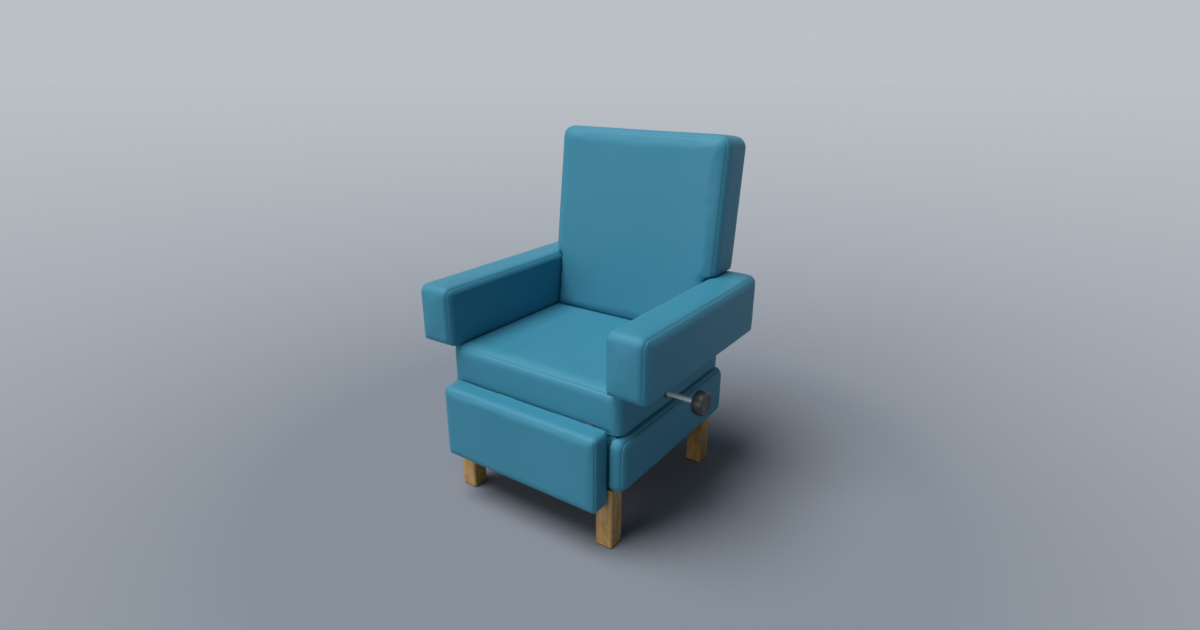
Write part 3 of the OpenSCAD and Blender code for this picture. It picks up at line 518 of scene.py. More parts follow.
def rounded_block(name, low, high, radius_of):
    """A box with rounded edges: radius_of gives an edge's rounding from the signs of its middle (x, y, z)."""
    bm = bmesh.new()
    bmesh.ops.create_cube(bm, size=1.0)
    weights = bm.edges.layers.float.new("bevel_weight_edge")
    sides = [[round(sum(v.co[i] for v in edge.verts)) for i in range(3)] for edge in bm.edges]
    radii = [radius_of(*side) for side in sides]
    widest = max(radii)
    for edge, radius in zip(bm.edges, radii):
        edge[weights] = radius / widest
    spread_cube(bm, low, high)
    block = new_piece(name, to_mesh(bm, name), VINYL)
    rounding = block.modifiers.new("rounding", "BEVEL")
    rounding.width = widest
    rounding.segments = 6
    rounding.limit_method = "WEIGHT"
    return applied(block)


def new_cutter(bm, place):
    """A hidden tool for cutting, placed by a matrix."""
    cutter = bpy.data.objects.new("cutter", to_mesh(bm, "cutter"))
    bpy.context.scene.collection.objects.link(cutter)
    cutter.matrix_world = place
    return cutter


def plain_box(low, high, place=Matrix()):
    """A square tool between two corners, in the frame of the matrix."""
    bm = bmesh.new()
    bmesh.ops.create_cube(bm, size=1.0)
    spread_cube(bm, low, high)
    return new_cutter(bm, place)


def plain_rod(start, end, radius, sides=32):
    """A round tool between two points."""
    start, end = Vector(start), Vector(end)
    along = end - start
    turn = along.to_track_quat("Z", "Y").to_matrix().to_4x4()
    bm = bmesh.new()
    bmesh.ops.create_cone(bm, cap_ends=True, segments=sides, radius1=radius, radius2=radius,
                          depth=along.length)
    return new_cutter(bm, Matrix.Translation((start + end) / 2) @ turn)


def across(side, inner, outer):
    """Lowest and highest X between two distances from the mid plane, on one side of it."""
    return sorted((MID_X + side * inner, MID_X + side * outer))


def both_sides(reach, low, high):
    """A box on each side: reach is its span from the mid plane, low and high are its corners in Y and Z."""
    boxes = []
    for side in (1, -1):
        x0, x1 = across(side, *reach)
        boxes.append(plain_box((x0, *low), (x1, *high)))
    return boxes


def middle_of(low, high):
    """The middle between two corners."""
    return [(low[i] + high[i]) / 2 for i in range(3)]


def cut(piece, cutters, operation="DIFFERENCE"):
    """Cuts the piece with each tool in turn and removes the tools."""
    for cutter in cutters:
        modifier = piece.modifiers.new("cut", "BOOLEAN")
        modifier.operation = operation
        modifier.solver = "EXACT"
        modifier.object = cutter
        applied(piece)
        mesh = cutter.data
        bpy.data.objects.remove(cutter)
        bpy.data.meshes.remove(mesh)
    return piece


def spread_out(mesh, values, rounds):
    """Evens out a per-point vector field over the mesh, so that only its slow changes stay."""
    ends = np.empty(len(mesh.edges) * 2, dtype=np.int64)
    mesh.edges.foreach_get("vertices", ends)
    a, b = ends.reshape(-1, 2).T
    count = np.bincount(np.concatenate((a, b)), minlength=len(values))[:, None]
    for _ in range(rounds):
        total = np.zeros_like(values)
        np.add.at(total, a, values[b])
        np.add.at(total, b, values[a])
        values = (values + total / np.maximum(count, 1)) / 2
    return values


def inflate(piece, cap):
    """Cloth under pressure, with each point held softly below the cap outwards and above the sink inwards."""
    start, normals = get_points(piece.data), get_points(piece.data, "normal")
    cloth = piece.modifiers.new("swell", "CLOTH")
    cloth.settings.quality = 4
    cloth.settings.use_pressure = True
    cloth.settings.uniform_pressure_force = PRESSURE
    cloth.settings.effector_weights.gravity = 0
    cloth.collision_settings.use_collision = False
    cloth.point_cache.frame_start, cloth.point_cache.frame_end = 1, CLOTH_FRAMES
    scene = bpy.context.scene
    for step in range(1, CLOTH_FRAMES + 1):
        scene.frame_set(step)
    applied(piece)
    way = get_points(piece.data) - start
    rise = np.sum(way * normals, axis=1, keepdims=True)
    slip = way - rise * normals
    rise = np.where(rise > 0, cap * np.tanh(rise / cap), SINK * np.tanh(rise / SINK))
    slip_length = np.maximum(np.linalg.norm(slip, axis=1, keepdims=True), 1e-9)
    slip *= np.tanh(slip_length / SLIP) * SLIP / slip_length
    moved = rise * normals + slip
    calm = spread_out(piece.data, moved, CALM_ROUNDS)
    set_points(piece.data, start + calm * (1 - WRINKLE_SHARE) + moved * WRINKLE_SHARE)
    scene.frame_set(1)


def soften(piece, voxel, rounds, cap=None):
    """Puts the piece on an even grid, swells it where it has a cap, eases it and subdivides it."""
    grid = piece.modifiers.new("grid", "REMESH")
    grid.mode = "VOXEL"
    grid.voxel_size = voxel
    grid.use_smooth_shade = True
    applied(piece)
    if cap is not None:
        inflate(piece, cap)
    ease = piece.modifiers.new("ease", "SMOOTH")
    ease.iterations = rounds
    ease.factor = 0.5
    applied(piece)
    fine = piece.modifiers.new("fine", "SUBSURF")
    fine.levels = fine.render_levels = 1
    applied(piece)


def ripple(piece, amount, size, seed):
    """Slow unevenness of foam under its cover."""
    points, normals = get_points(piece.data), get_points(piece.data, "normal")
    shift = Vector((seed * 3.1, seed * 1.7, seed * 2.3))
    way = np.array([noise.noise(Vector(p) / size + shift) for p in points])
    set_points(piece.data, points + normals * (way * amount)[:, None])


def hold_inside(piece, low, high):
    """Keeps every point inside a box, so that a face that rests on something is flat."""
    set_points(piece.data, np.clip(get_points(piece.data), low, high))


def press(piece, axis, limit, side, where):
    """Flattens the points that where(points) picks to a plane, above them (side 1) or below (side -1)."""
    points = get_points(piece.data)
    picked = where(points)
    points[picked, axis] = side * np.minimum(side * points[picked, axis], side * limit)
    set_points(piece.data, points)


def tighten(piece, axes, corner, ways, reach=TIGHT_REACH, radius=TIGHT_R):
    """Makes a long edge less round: it runs square to two axes through a corner, with the outward ways."""
    points = get_points(piece.data)
    local = np.stack([reach - way * (place - points[:, axis])
                      for axis, place, way in zip(axes, corner, ways)], axis=1)
    near = (local > 1e-6).all(axis=1)
    ray = local[near] / np.linalg.norm(local[near], axis=1, keepdims=True)
    straight = reach - radius
    along = ray.sum(axis=1) * straight
    arc = along + np.sqrt(np.maximum(along ** 2 - 2 * straight ** 2 + radius ** 2, 0))
    flat = reach / ray.max(axis=1)
    wanted = np.where(flat * ray.min(axis=1) <= straight, flat, arc)
    for k, (axis, way) in enumerate(zip(axes, ways)):
        points[near, axis] += way * (wanted - reach) * ray[:, k]
    set_points(piece.data, points)


# ---- Seams and stitches

SEAM_STEP, SEAM_REACH, PUCKER_SIZE = 2 * MM, 30 * MM, 9 * MM
STITCH_PITCH, STITCH_LENGTH, STITCH_THICK, STITCH_OFFSET = 7 * MM, 4.8 * MM, 0.55 * MM, 4.2 * MM


def fillet_path(corners, radii, closed=True):
    """A flat path through corners, each rounded, as evenly spaced points."""
    corners = [Vector(c) for c in corners]
    count = len(corners)
    path = []
    for i, corner in enumerate(corners):
        if not closed and i in (0, count - 1):
            path.append(corner)
            continue
        before, after = corners[i - 1] - corner, corners[(i + 1) % count] - corner
        radius = radii[i] if hasattr(radii, "__len__") else radii
        before.normalize()
        after.normalize()
        angle = before.angle(after)
        reach = radius / math.tan(angle / 2)
        start, end = corner + before * reach, corner + after * reach
        middle = corner + (before + after).normalized() * (radius / math.sin(angle / 2))
        for k in range(7):
            share = k / 6
            spoke = (start - middle).normalized().slerp((end - middle).normalized(), share)
            path.append(middle + spoke * radius)
    if closed:
        path.append(path[0].copy())
    even = [path[0].copy()]
    rest = 0.0
    for a, b in zip(path, path[1:]):
        length = (b - a).length
        place = SEAM_STEP - rest
        while place <= length:
            even.append(a.lerp(b, place / length))
            place += SEAM_STEP
        rest = (rest + length) % SEAM_STEP if length else rest
    return even


def rectangle(low, high, inset):
    """Four corners, the inset inside the two given ones."""
    return [(low[0] + inset, low[1] + inset), (high[0] - inset, low[1] + inset),
            (high[0] - inset, high[1] - inset), (low[0] + inset, high[1] - inset)]


def face_loop(low, high, radius, axis, side):
    """The seam round one face of a rounded block, half way over its rounded edge."""
    inset = radius * HALFWAY
    first, second = [i for i in range(3) if i != axis]
    flat = fillet_path(rectangle((low[first], low[second]), (high[first], high[second]), inset), radius * 0.9)
    depth = high[axis] - inset if side > 0 else low[axis] + inset
    loop = []
    for point in flat:
        spot = [0.0, 0.0, 0.0]
        spot[axis], spot[first], spot[second] = depth, point.x, point.y
        loop.append(Vector(spot))
    return loop


def sink_seams(piece, loops, depth=1.5 * MM, width=2.4 * MM, pucker=0.22 * MM):
    """Presses each seam into the cover, with small puckers beside it."""
    mesh = piece.data
    tree = surface_of(mesh)
    snapped = [[tree.find_nearest(point)[:2] for point in loop] for loop in loops]
    near = KDTree(sum(len(line) for line in snapped))
    along = []
    for line in snapped:
        for i, (spot, _) in enumerate(line):
            near.insert(spot, len(along))
            along.append(i * SEAM_STEP)
    near.balance()
    points, normals = get_points(mesh), get_points(mesh, "normal")
    for i, point in enumerate(points):
        _, index, gap = near.find(point)
        if gap > SEAM_REACH:
            continue
        wave = noise.noise(Vector((along[index] / PUCKER_SIZE, 0.0, 3.7)))
        beside = math.exp(-gap / PUCKER_SIZE) * min(1, gap / width)
        points[i] = point - normals[i] * (depth * math.exp(-(gap / width) ** 2) + pucker * wave * beside)
    set_points(mesh, points)
    return snapped


def circle(sides):
    """Cosine and sine of evenly spaced turns."""
    return [(math.cos(a), math.sin(a)) for a in (2 * math.pi * k / sides for k in range(sides))]


def join_rings(bm, rings):
    """Faces between each ring and the next, where a ring may be a single point, and over both ends."""
    for a, b in zip(rings, rings[1:]):
        for k in range(max(len(a), len(b))):
            corners = dict.fromkeys((a[k % len(a)], a[(k + 1) % len(a)], b[(k + 1) % len(b)], b[k % len(b)]))
            bm.faces.new(list(corners))
    for end in (rings[0], rings[-1]):
        if len(end) > 2:
            bm.faces.new(end)
    bmesh.ops.recalc_face_normals(bm, faces=bm.faces)


def stitch_template():
    """One stitch along X: a slim five-sided spindle."""
    sides, rings = 5, ((-0.5, 0.25), (-0.32, 1.0), (0.32, 1.0), (0.5, 0.25))
    verts, faces = [], []
    for x, r in rings:
        for u, v in circle(sides):
            verts.append((x * STITCH_LENGTH, u * r * STITCH_THICK, v * r * STITCH_THICK))
    for ring in range(len(rings) - 1):
        for k in range(sides):
            a, b = ring * sides + k, ring * sides + (k + 1) % sides
            faces.append((a, b, b + sides, a + sides))
    faces.append(tuple(range(sides))[::-1])
    faces.append(tuple(range(3 * sides, 4 * sides)))
    return np.array(verts), faces


STITCH = stitch_template()


def add_stitches(name, piece, lines, inward, body):
    """A row of stitches beside each seam, on the side of the panel's middle."""
    tree = surface_of(piece.data)
    verts, faces = [], []
    template, template_faces = STITCH
    stride = max(1, round(STITCH_PITCH / SEAM_STEP))
    for line in lines:
        for i in range(stride, len(line) - stride, stride):
            spot, normal = line[i]
            ahead = line[i + 1][0] - line[i - 1][0]
            if ahead.length < 1e-6:
                continue
            ahead.normalize()
            beside = normal.cross(ahead).normalized()
            if beside.dot(inward(spot) - spot) < 0:
                beside = -beside
            seat, up, _, _ = tree.find_nearest(spot + beside * STITCH_OFFSET)
            ahead = (ahead - up * ahead.dot(up)).normalized()
            aside = up.cross(ahead)
            turn = np.array([ahead, aside, up])
            base = len(verts) * len(template)
            verts.append(template @ turn + np.array(seat + up * STITCH_THICK * 0.25))
            faces.extend(tuple(base + k for k in face) for face in template_faces)
    rows = bpy.data.meshes.new(name)
    rows.from_pydata(np.concatenate(verts).tolist(), [], faces)
    rows.update()
    row = new_piece(name, rows, THREAD)
    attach(row, body)


# ---- Padded pieces

def upholster(piece, node, body, loops, inward, pockets=()):
    """Seams, stitches and pockets of a padded piece, which then stands for its node."""
    lines = sink_seams(piece, loops)
    add_stitches(node + "_stitches", piece, lines, inward, body)
    cut(piece, pockets)
    for face in piece.data.polygons:
        face.use_smooth = True
    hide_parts(node)
    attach(piece, body)


def arm_bar_ends(low, high):
    """Front and rear edge of each arm bar, along Y."""
    return (low[1], low[1] + BAR_WIDTH), (high[1] - BAR_WIDTH, high[1])


def make_seat():
    """The seat's pad: a block a little inside the solid's box, which then swells out to it."""
    low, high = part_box("seat_cushion")
    side_top, side_bottom = 6 * MM, 5 * MM

    def edge(x, y, z):
        return side_bottom if z < 0 else side_top if z > 0 and y == 0 else SEAT_R
    inner_low = (low[0] + MM, low[1] + 1.8 * MM, low[2])
    inner_high = (high[0] - MM, high[1] - MM, high[2] - 0.6 * MM)
    piece = rounded_block("seat_pad", inner_low, inner_high, edge)
    soften(piece, VOXEL, 2, 6 * MM)
    for x, way in ((inner_low[0], -1), (inner_high[0], 1)):
        tighten(piece, (0, 2), (x, high[2] + MM), (way, 1))
        tighten(piece, (0, 2), (x, low[2]), (way, -1), LOW_REACH)
    for y, way in ((inner_low[1], -1), (inner_high[1], 1)):
        tighten(piece, (1, 2), (y, low[2]), (way, -1), LOW_REACH)
    ripple(piece, 0.6 * MM, 120 * MM, 1)
    hold_inside(piece, (low[0] + GAP, low[1] + MM, low[2]),
                (high[0] - GAP, high[1] + 0.4 * MM, high[2] + 5 * MM))

    # Low beside the arms and under the back's foot
    arm_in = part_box("arm_pad_right")[0][0] - MID_X
    press(piece, 2, high[2] + 1.8 * MM, 1, lambda p: abs(p[:, 0] - MID_X) > arm_in - 8 * MM)
    press(piece, 2, high[2] + 0.8 * MM, 1, lambda p: p[:, 1] > BACK_FOOT.y - 8 * MM)

    # Room for the rails and their webbing, the arms' bars, the legrest's cranks and the release's housing
    inside = ["seat_rail_left", "seat_rail_right", "seat_rail_front", "seat_rail_rear", "seat_webbing"]
    rails = [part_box(name) for name in inside]
    room_low = [min(rail[0][i] for rail in rails) - GAP for i in range(3)]
    room_high = [max(rail[1][i] for rail in rails) + GAP for i in range(3)]
    under = low[2] - OPEN_BELOW
    room_low[2] -= OPEN_BELOW
    pockets = [plain_box(room_low, room_high)]
    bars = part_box("arm_bars")
    for x0 in (bars[0][0], bars[1][0] - BAR_THICK):
        for y0, y1 in arm_bar_ends(*bars):
            pockets.append(plain_box((x0 - GAP, y0 - GAP, under),
                                     (x0 + BAR_THICK + GAP, y1 + GAP, high[2] + 20 * MM)))
    pockets += both_sides(LEGREST_CRANK, (low[1] - 20 * MM, under), (low[1] + 12 * MM, low[2] + 12.7 * MM))
    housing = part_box("rod_housing")
    _, y, z = middle_of(*housing)
    radius = (housing[1][2] - housing[0][2]) / 2 + GAP
    pockets.append(plain_rod((housing[0][0], y, z), (high[0] + 20 * MM, y, z), radius))
    centre = middle_of(inner_low, inner_high)

    def inward(p):
        return Vector((centre[0], centre[1], inner_high[2] if p.z > centre[2] else inner_low[2]))
    loops = [face_loop(inner_low, inner_high, SEAT_R, 2, 1)]
    upholster(piece, "seat_cushion", "chair_frame", loops, inward, pockets)


def make_arms():
    """Both arms: the right pad is swollen, and the left one is its mirror image."""
    low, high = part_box("arm_pad_right")
    rest = low[2] - 2 * MM
    inner_low = (low[0] + MM, low[1] + MM, rest)
    inner_high = (high[0] - MM, high[1] - MM, high[2] - MM)

    def edge(x, y, z):
        return 6 * MM if z < 0 and y == 0 else ARM_R
    right = rounded_block("arm_rest_right", inner_low, inner_high, edge)
    soften(right, VOXEL, 2, 5 * MM)
    for x, way in ((inner_low[0], -1), (inner_high[0], 1)):
        tighten(right, (0, 2), (x, rest), (way, -1))
    ripple(right, 0.5 * MM, 100 * MM, 2)
    hold_inside(right, (low[0] - 0.2 * MM, low[1] - 2 * MM, rest),
                (high[0] + 3 * MM, high[1] + 2 * MM, high[2] + 4 * MM))

    # Flat underneath, where the arms lie on their bars, and low under the back's foot
    press(right, 2, rest, -1, lambda p: (p[:, 2] < rest + 1.5 * MM) & (p[:, 1] > low[1] + 30 * MM))
    press(right, 2, high[2] + MM, 1, lambda p: p[:, 1] > BACK_FOOT.y - 10 * MM)

    left_mesh = right.data.copy()
    points = get_points(left_mesh)
    points[:, 0] = 2 * MID_X - points[:, 0]
    set_points(left_mesh, points)
    left_mesh.flip_normals()
    left = new_piece("arm_rest_left", left_mesh, VINYL)

    # Room for each arm's core and its bars with their bolts' heads
    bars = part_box("arm_bars")
    under = low[2] - OPEN_BELOW
    for piece, name, side in ((right, "right", 1), (left, "left", -1)):
        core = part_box("arm_core_" + name)
        pockets = [plain_box([c - GAP for c in core[0]][:2] + [under], [c + GAP for c in core[1]])]
        outer = bars[1][0] if side > 0 else bars[0][0]
        x0, x1 = sorted((outer - side * BAR_THICK - side * BOLT_HEAD, outer))
        for y0, y1 in arm_bar_ends(*bars):
            pockets.append(plain_box((x0 - GAP, y0 - GAP, under), (x1 + GAP, y1 + GAP, bars[1][2] + GAP)))
        box_low, box_high = list(inner_low), list(inner_high)
        if side < 0:
            box_low[0], box_high[0] = 2 * MID_X - inner_high[0], 2 * MID_X - inner_low[0]
        centre = middle_of(box_low, box_high)

        def inward(p, centre=centre, near=box_low[0], far=box_high[0]):
            return Vector((far if p.x > centre[0] else near, centre[1], centre[2]))
        loops = [face_loop(box_low, box_high, ARM_R, 0, way) for way in (1, -1)]
        upholster(piece, "arm_pad_" + name, "chair_frame", loops, inward, pockets)


# Room between the arms and the back's block, and between the arms and the back's outline
ARM_CLEAR, BACK_CLEAR = 1.8 * MM, 6 * MM


def waist_cutters():
    """Tools that clear the seat and both arms, with the arms' rounded top edge, from the back's block."""
    seat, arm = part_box("seat_cushion"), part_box("arm_pad_right")
    tools = [plain_box((-FAR, -FAR, -FAR), (FAR, seat[1][1] + 3 * MM, BACK_FOOT.z + 1.2 * MM))]
    waist, shoulder = arm[0][0] - MID_X - ARM_CLEAR - MM, arm[1][2] + ARM_CLEAR
    for side in (1, -1):
        def edge(x, y, z, inward=-side):
            return ARM_R + ARM_CLEAR if z > 0 and y == 0 and x == inward else 0.0
        x0, x1 = across(side, waist, FAR)
        tools.append(rounded_block("arm_room", (x0, -FAR, -FAR), (x1, 2 * FAR, shoulder), edge))
    return tools


def clear_arms(points):
    """Pushes points out of the room that both arms need, round their top edges too."""
    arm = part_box("arm_pad_right")
    waist, shoulder = arm[0][0] - MID_X - ARM_CLEAR, arm[1][2] + ARM_CLEAR
    centre_x, centre_z = arm[0][0] - MID_X + ARM_R, arm[1][2] - ARM_R
    way = np.where(points[:, 0] > MID_X, 1.0, -1.0)
    out = np.abs(points[:, 0] - MID_X)
    up = points[:, 2].copy()
    beside = (out > waist) & (up < centre_z)
    above = (out >= centre_x) & (up >= centre_z) & (up < shoulder)
    bend = np.hypot(centre_x - out, up - centre_z)
    round_edge = (out < centre_x) & (up >= centre_z) & (bend < ARM_R + ARM_CLEAR)
    grow = (ARM_R + ARM_CLEAR) / np.maximum(bend, MM)
    new_out = np.where(beside, waist, np.where(round_edge, centre_x - (centre_x - out) * grow, out))
    new_up = np.where(above, shoulder, np.where(round_edge, centre_z + (up - centre_z) * grow, up))
    points[:, 0], points[:, 2] = MID_X + way * new_out, new_up
    return points


def back_outline(inset, at_depth):
    """The back's outline in its leaning frame (X, Z), with the waist between the arms."""
    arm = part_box("arm_pad_right")
    waist = arm[0][0] - MID_X - BACK_CLEAR - inset
    shoulder = (arm[1][2] + BACK_CLEAR - BACK_FOOT.z + at_depth * math.sin(LEAN)) / math.cos(LEAN) + inset
    foot = 2 * MM
    half, top = BACK_HALF - inset, BACK_HEIGHT - inset
    right = [(waist, foot), (waist, shoulder), (half, shoulder), (half, top)]
    return right + [(-x, z) for x, z in reversed(right)]


def make_back():
    """One padded block that the side seams divide into the front cushion and the rear cover."""
    low = (-BACK_HALF + MM, MM, -BACK_SKIRT)
    high = (BACK_HALF - MM, BACK_THICK - 0.4 * MM, BACK_HEIGHT - MM)
    cushion = rounded_block("back_pad", low, high, lambda x, y, z: BACK_R)
    cushion.data.transform(LEANED)
    cut(cushion, waist_cutters())
    soften(cushion, VOXEL, 2, 6 * MM)
    ripple(cushion, 0.7 * MM, 140 * MM, 3)
    points = clear_arms(get_points(cushion.data))
    foot = points[:, 1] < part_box("seat_cushion")[1][1] + 2.4 * MM
    points[foot, 2] = np.maximum(points[foot, 2], BACK_FOOT.z + 1.4 * MM)
    set_points(cushion.data, points)
    cushion.data.transform(LEANED.inverted())
    hold_inside(cushion, (-BACK_HALF - 2 * MM, -4 * MM, -BACK_SKIRT),
                (BACK_HALF + 2 * MM, BACK_THICK + 2 * MM, BACK_HEIGHT + 2 * MM))
    cushion.data.transform(LEANED)
    cover = new_piece("back_cover", cushion.data.copy(), VINYL)

    inset = BACK_R * HALFWAY + MM
    outline = back_outline(inset, inset)
    front = [(outline[2][0], outline[2][1] - inset)] + outline[3:5] + [(outline[5][0], outline[5][1] - inset)]
    loops = [[LEANED @ Vector((p.x, inset, p.y)) for p in fillet_path(front, 24 * MM, closed=False)]]
    middle = LEANED @ Vector((0, 0, BACK_HEIGHT * 0.55))
    split = plain_box((-FAR, BACK_JOINT - GAP, -FAR), (FAR, FAR, 2 * FAR), LEANED)
    upholster(cushion, "back_cushion", "back", loops, lambda p: middle, [split] + back_pockets())

    radii = [1 * MM, 8 * MM, 16 * MM, 22 * MM]
    path = fillet_path(back_outline(inset, BACK_THICK), radii + radii[::-1])
    loops = [[LEANED @ Vector((p.x, BACK_THICK - inset, p.y)) for p in path]]
    middle = LEANED @ Vector((0, BACK_THICK, BACK_HEIGHT * 0.55))
    pockets = [plain_box((-FAR, -FAR, -FAR), (FAR, BACK_JOINT + GAP, 2 * FAR), LEANED)]
    pockets += back_slots(100 * MM, 200 * MM, 16 * MM)
    upholster(cover, "back_panel", "back", loops, lambda p: middle, pockets)


def back_slots(front, rear, top):
    """Room for the steel below the stiles, on both sides, in the back's leaning frame."""
    slots = []
    for side in (1, -1):
        x0, x1 = sorted(side * x for x in BACK_SLOT)
        slots.append(plain_box((x0, front, -BELOW_BACK), (x1, rear, top), LEANED))
    return slots


def back_pockets():
    """Room for the stiles, rails, webbing and cranks, in the back's leaning frame."""
    front, rear = BACK_FRAME_Y - 2 * MM - GAP, 160 * MM
    stiles, top_rail = 250 * MM + GAP, 285.5 * MM + GAP
    bottom, top = BACK_FRAME_Z
    return [plain_box((-stiles, front, bottom - GAP), (stiles, rear, top), LEANED),
            plain_box((-top_rail, BACK_FRAME_Y - GAP, top - GAP), (top_rail, rear, 580 * MM + GAP), LEANED)
            ] + back_slots(front, rear, 20 * MM)


def make_legrest():
    """The legrest's pad, flat against its board and with room for the board and the hinges."""
    low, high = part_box("legrest_cushion")

    def edge(x, y, z):
        return 4 * MM if y > 0 else LEGREST_R
    inner_low = (low[0] + 0.8 * MM, low[1] + 1.5 * MM, low[2] + 0.8 * MM)
    inner_high = (high[0] - 0.8 * MM, high[1], high[2] + 2 * MM)
    piece = rounded_block("legrest_pad", inner_low, inner_high, edge)
    soften(piece, LEGREST_VOXEL, 1, 5 * MM)
    ripple(piece, 0.5 * MM, 100 * MM, 5)
    hold_inside(piece, (low[0] + GAP, low[1] - 3 * MM, low[2] - MM),
                (high[0] - GAP, high[1], high[2] + 2.4 * MM))
    press(piece, 2, high[2] + 2 * MM, -1,
          lambda p: (p[:, 2] > high[2] - 2 * MM) & (p[:, 1] > high[1] - 9 * MM))
    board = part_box("legrest_board")
    room_high = [board[1][0] + GAP, board[1][1] + 20 * MM, board[1][2] + GAP]
    pockets = [plain_box([c - GAP for c in board[0]], room_high)]
    pivot, hinge, hinge_radius = (FRONT_Y + 8 * MM, 357 * MM), (201.5 * MM, 226 * MM), 7.3 * MM
    for side in (1, -1):
        start, end = (MID_X + side * x for x in hinge)
        pockets.append(plain_rod((start, *pivot), (end, *pivot), hinge_radius))
    loops = [face_loop(inner_low, inner_high, LEGREST_R, 1, -1)]
    centre = Vector(middle_of(inner_low, inner_high))
    centre.y = inner_low[1]
    upholster(piece, "legrest_cushion", "legrest", loops, lambda p: centre, pockets)


def puff(piece, axis, low, high, amount):
    """A slight crown on the faces square to one axis."""
    points = get_points(piece.data)
    first, second = [i for i in range(3) if i != axis]
    u = 2 * (points[:, first] - low[first]) / (high[first] - low[first]) - 1
    v = 2 * (points[:, second] - low[second]) / (high[second] - low[second]) - 1
    rise = np.clip(1 - u ** 4, 0, 1) * np.clip(1 - v ** 4, 0, 1) * amount
    middle = (low[axis] + high[axis]) / 2
    outer = (high[axis] - low[axis]) / 2
    share = np.clip((points[:, axis] - middle) / outer, -1, 1) ** 3
    points[:, axis] += rise * share
    set_points(piece.data, points)


def base_block(name):
    """One block round the whole base, and its corners: each cover is cut from a block of its own."""
    left, right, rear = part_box("base_cover_left"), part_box("base_cover_right"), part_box("base_cover_rear")
    low = left[0]
    high = (right[1][0], max(right[1][1], rear[1][1]), right[1][2])
    return rounded_block(name, low, high, lambda x, y, z: BASE_R), low, high


def make_base_covers():
    """Firm panels round the base's rails: one on each side, with a nose beside the legrest, and the rear."""
    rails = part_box("base_rail_left")[0][0] - GAP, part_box("base_rail_right")[1][0] + GAP
    front_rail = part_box("base_rail_front")[0][1] - GAP
    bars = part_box("arm_bars")
    nose, crown, bolts_down, room = 277 * MM, 2.5 * MM, (40 * MM, 110 * MM), 7.4 * MM
    for side, name in ((1, "right"), (-1, "left")):
        piece, low, high = base_block("base_side_" + name)
        inner = rails[1] if side > 0 else rails[0]
        x0, x1 = sorted((inner, inner - side * 2 * FAR))
        cut(piece, [plain_box((x0, front_rail, -FAR), (x1, 2 * FAR, 2 * FAR))])
        x0, x1 = across(side, nose, -2 * FAR)
        cut(piece, [plain_box((x0, -2 * FAR, -FAR), (x1, front_rail + MM, 2 * FAR))])
        soften(piece, BASE_VOXEL, 2)
        puff(piece, 0, low, high, crown)
        ripple(piece, 0.5 * MM, 90 * MM, 6 + side)
        inside, outside = sorted((MID_X + side * nose, side * FAR))
        hold_inside(piece, (inside, low[1] - MM, low[2]), (outside, high[1] + MM, high[2]))
        pockets = []
        bar_out = (bars[1][0] if side > 0 else bars[0][0]) + side * GAP
        for y0, y1 in arm_bar_ends(*bars):
            a, b = sorted((inner - side * 2 * MM, bar_out))
            pockets.append(plain_box((a, y0 - GAP, bars[0][2] - GAP), (b, y1 + GAP, high[2] + 20 * MM)))
            a, b = sorted((inner, bar_out + side * BOLT_HEAD))
            for down in bolts_down:
                y, z = (y0 + y1) / 2, high[2] - down
                pockets.append(plain_box((a, y - room, z - room), (b, y + room, z + room)))
        loops = [face_loop(low, high, BASE_R, 0, side)]
        centre = Vector(middle_of(low, high))
        centre.x = high[0] if side > 0 else low[0]
        upholster(piece, "base_cover_" + name, "chair_frame", loops, lambda p, c=centre: c, pockets)
    piece, low, high = base_block("base_rear")
    rear_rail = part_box("base_rail_rear")[1][1] + GAP
    left, right = rails[0] + 2 * GAP, rails[1] - 2 * GAP
    cut(piece, [plain_box((-FAR, -FAR, -FAR), (FAR, rear_rail, 2 * FAR)),
                plain_box((right, -FAR, -FAR), (2 * FAR, 2 * FAR, 2 * FAR)),
                plain_box((-2 * FAR, -FAR, -FAR), (left, 2 * FAR, 2 * FAR))])
    soften(piece, BASE_VOXEL, 1)
    ripple(piece, 0.5 * MM, 90 * MM, 9)
    hold_inside(piece, (left, rear_rail, low[2]), (right, high[1] + 1.5 * MM, high[2]))
    pockets = both_sides(CRANK_SLOT, (-FAR, 300 * MM), (FAR, FAR))
    inset = BASE_R * HALFWAY
    places = np.arange(rails[0] + 6 * MM, rails[1] - 6 * MM, SEAM_STEP)
    lines = [[Vector((x, high[1] - inset, z)) for x in places] for z in (high[2] - inset, low[2] + inset)]

    def inward(p):
        return Vector((p.x, p.y, middle_of(low, high)[2]))
    upholster(piece, "base_cover_rear", "chair_frame", lines, inward, pockets)


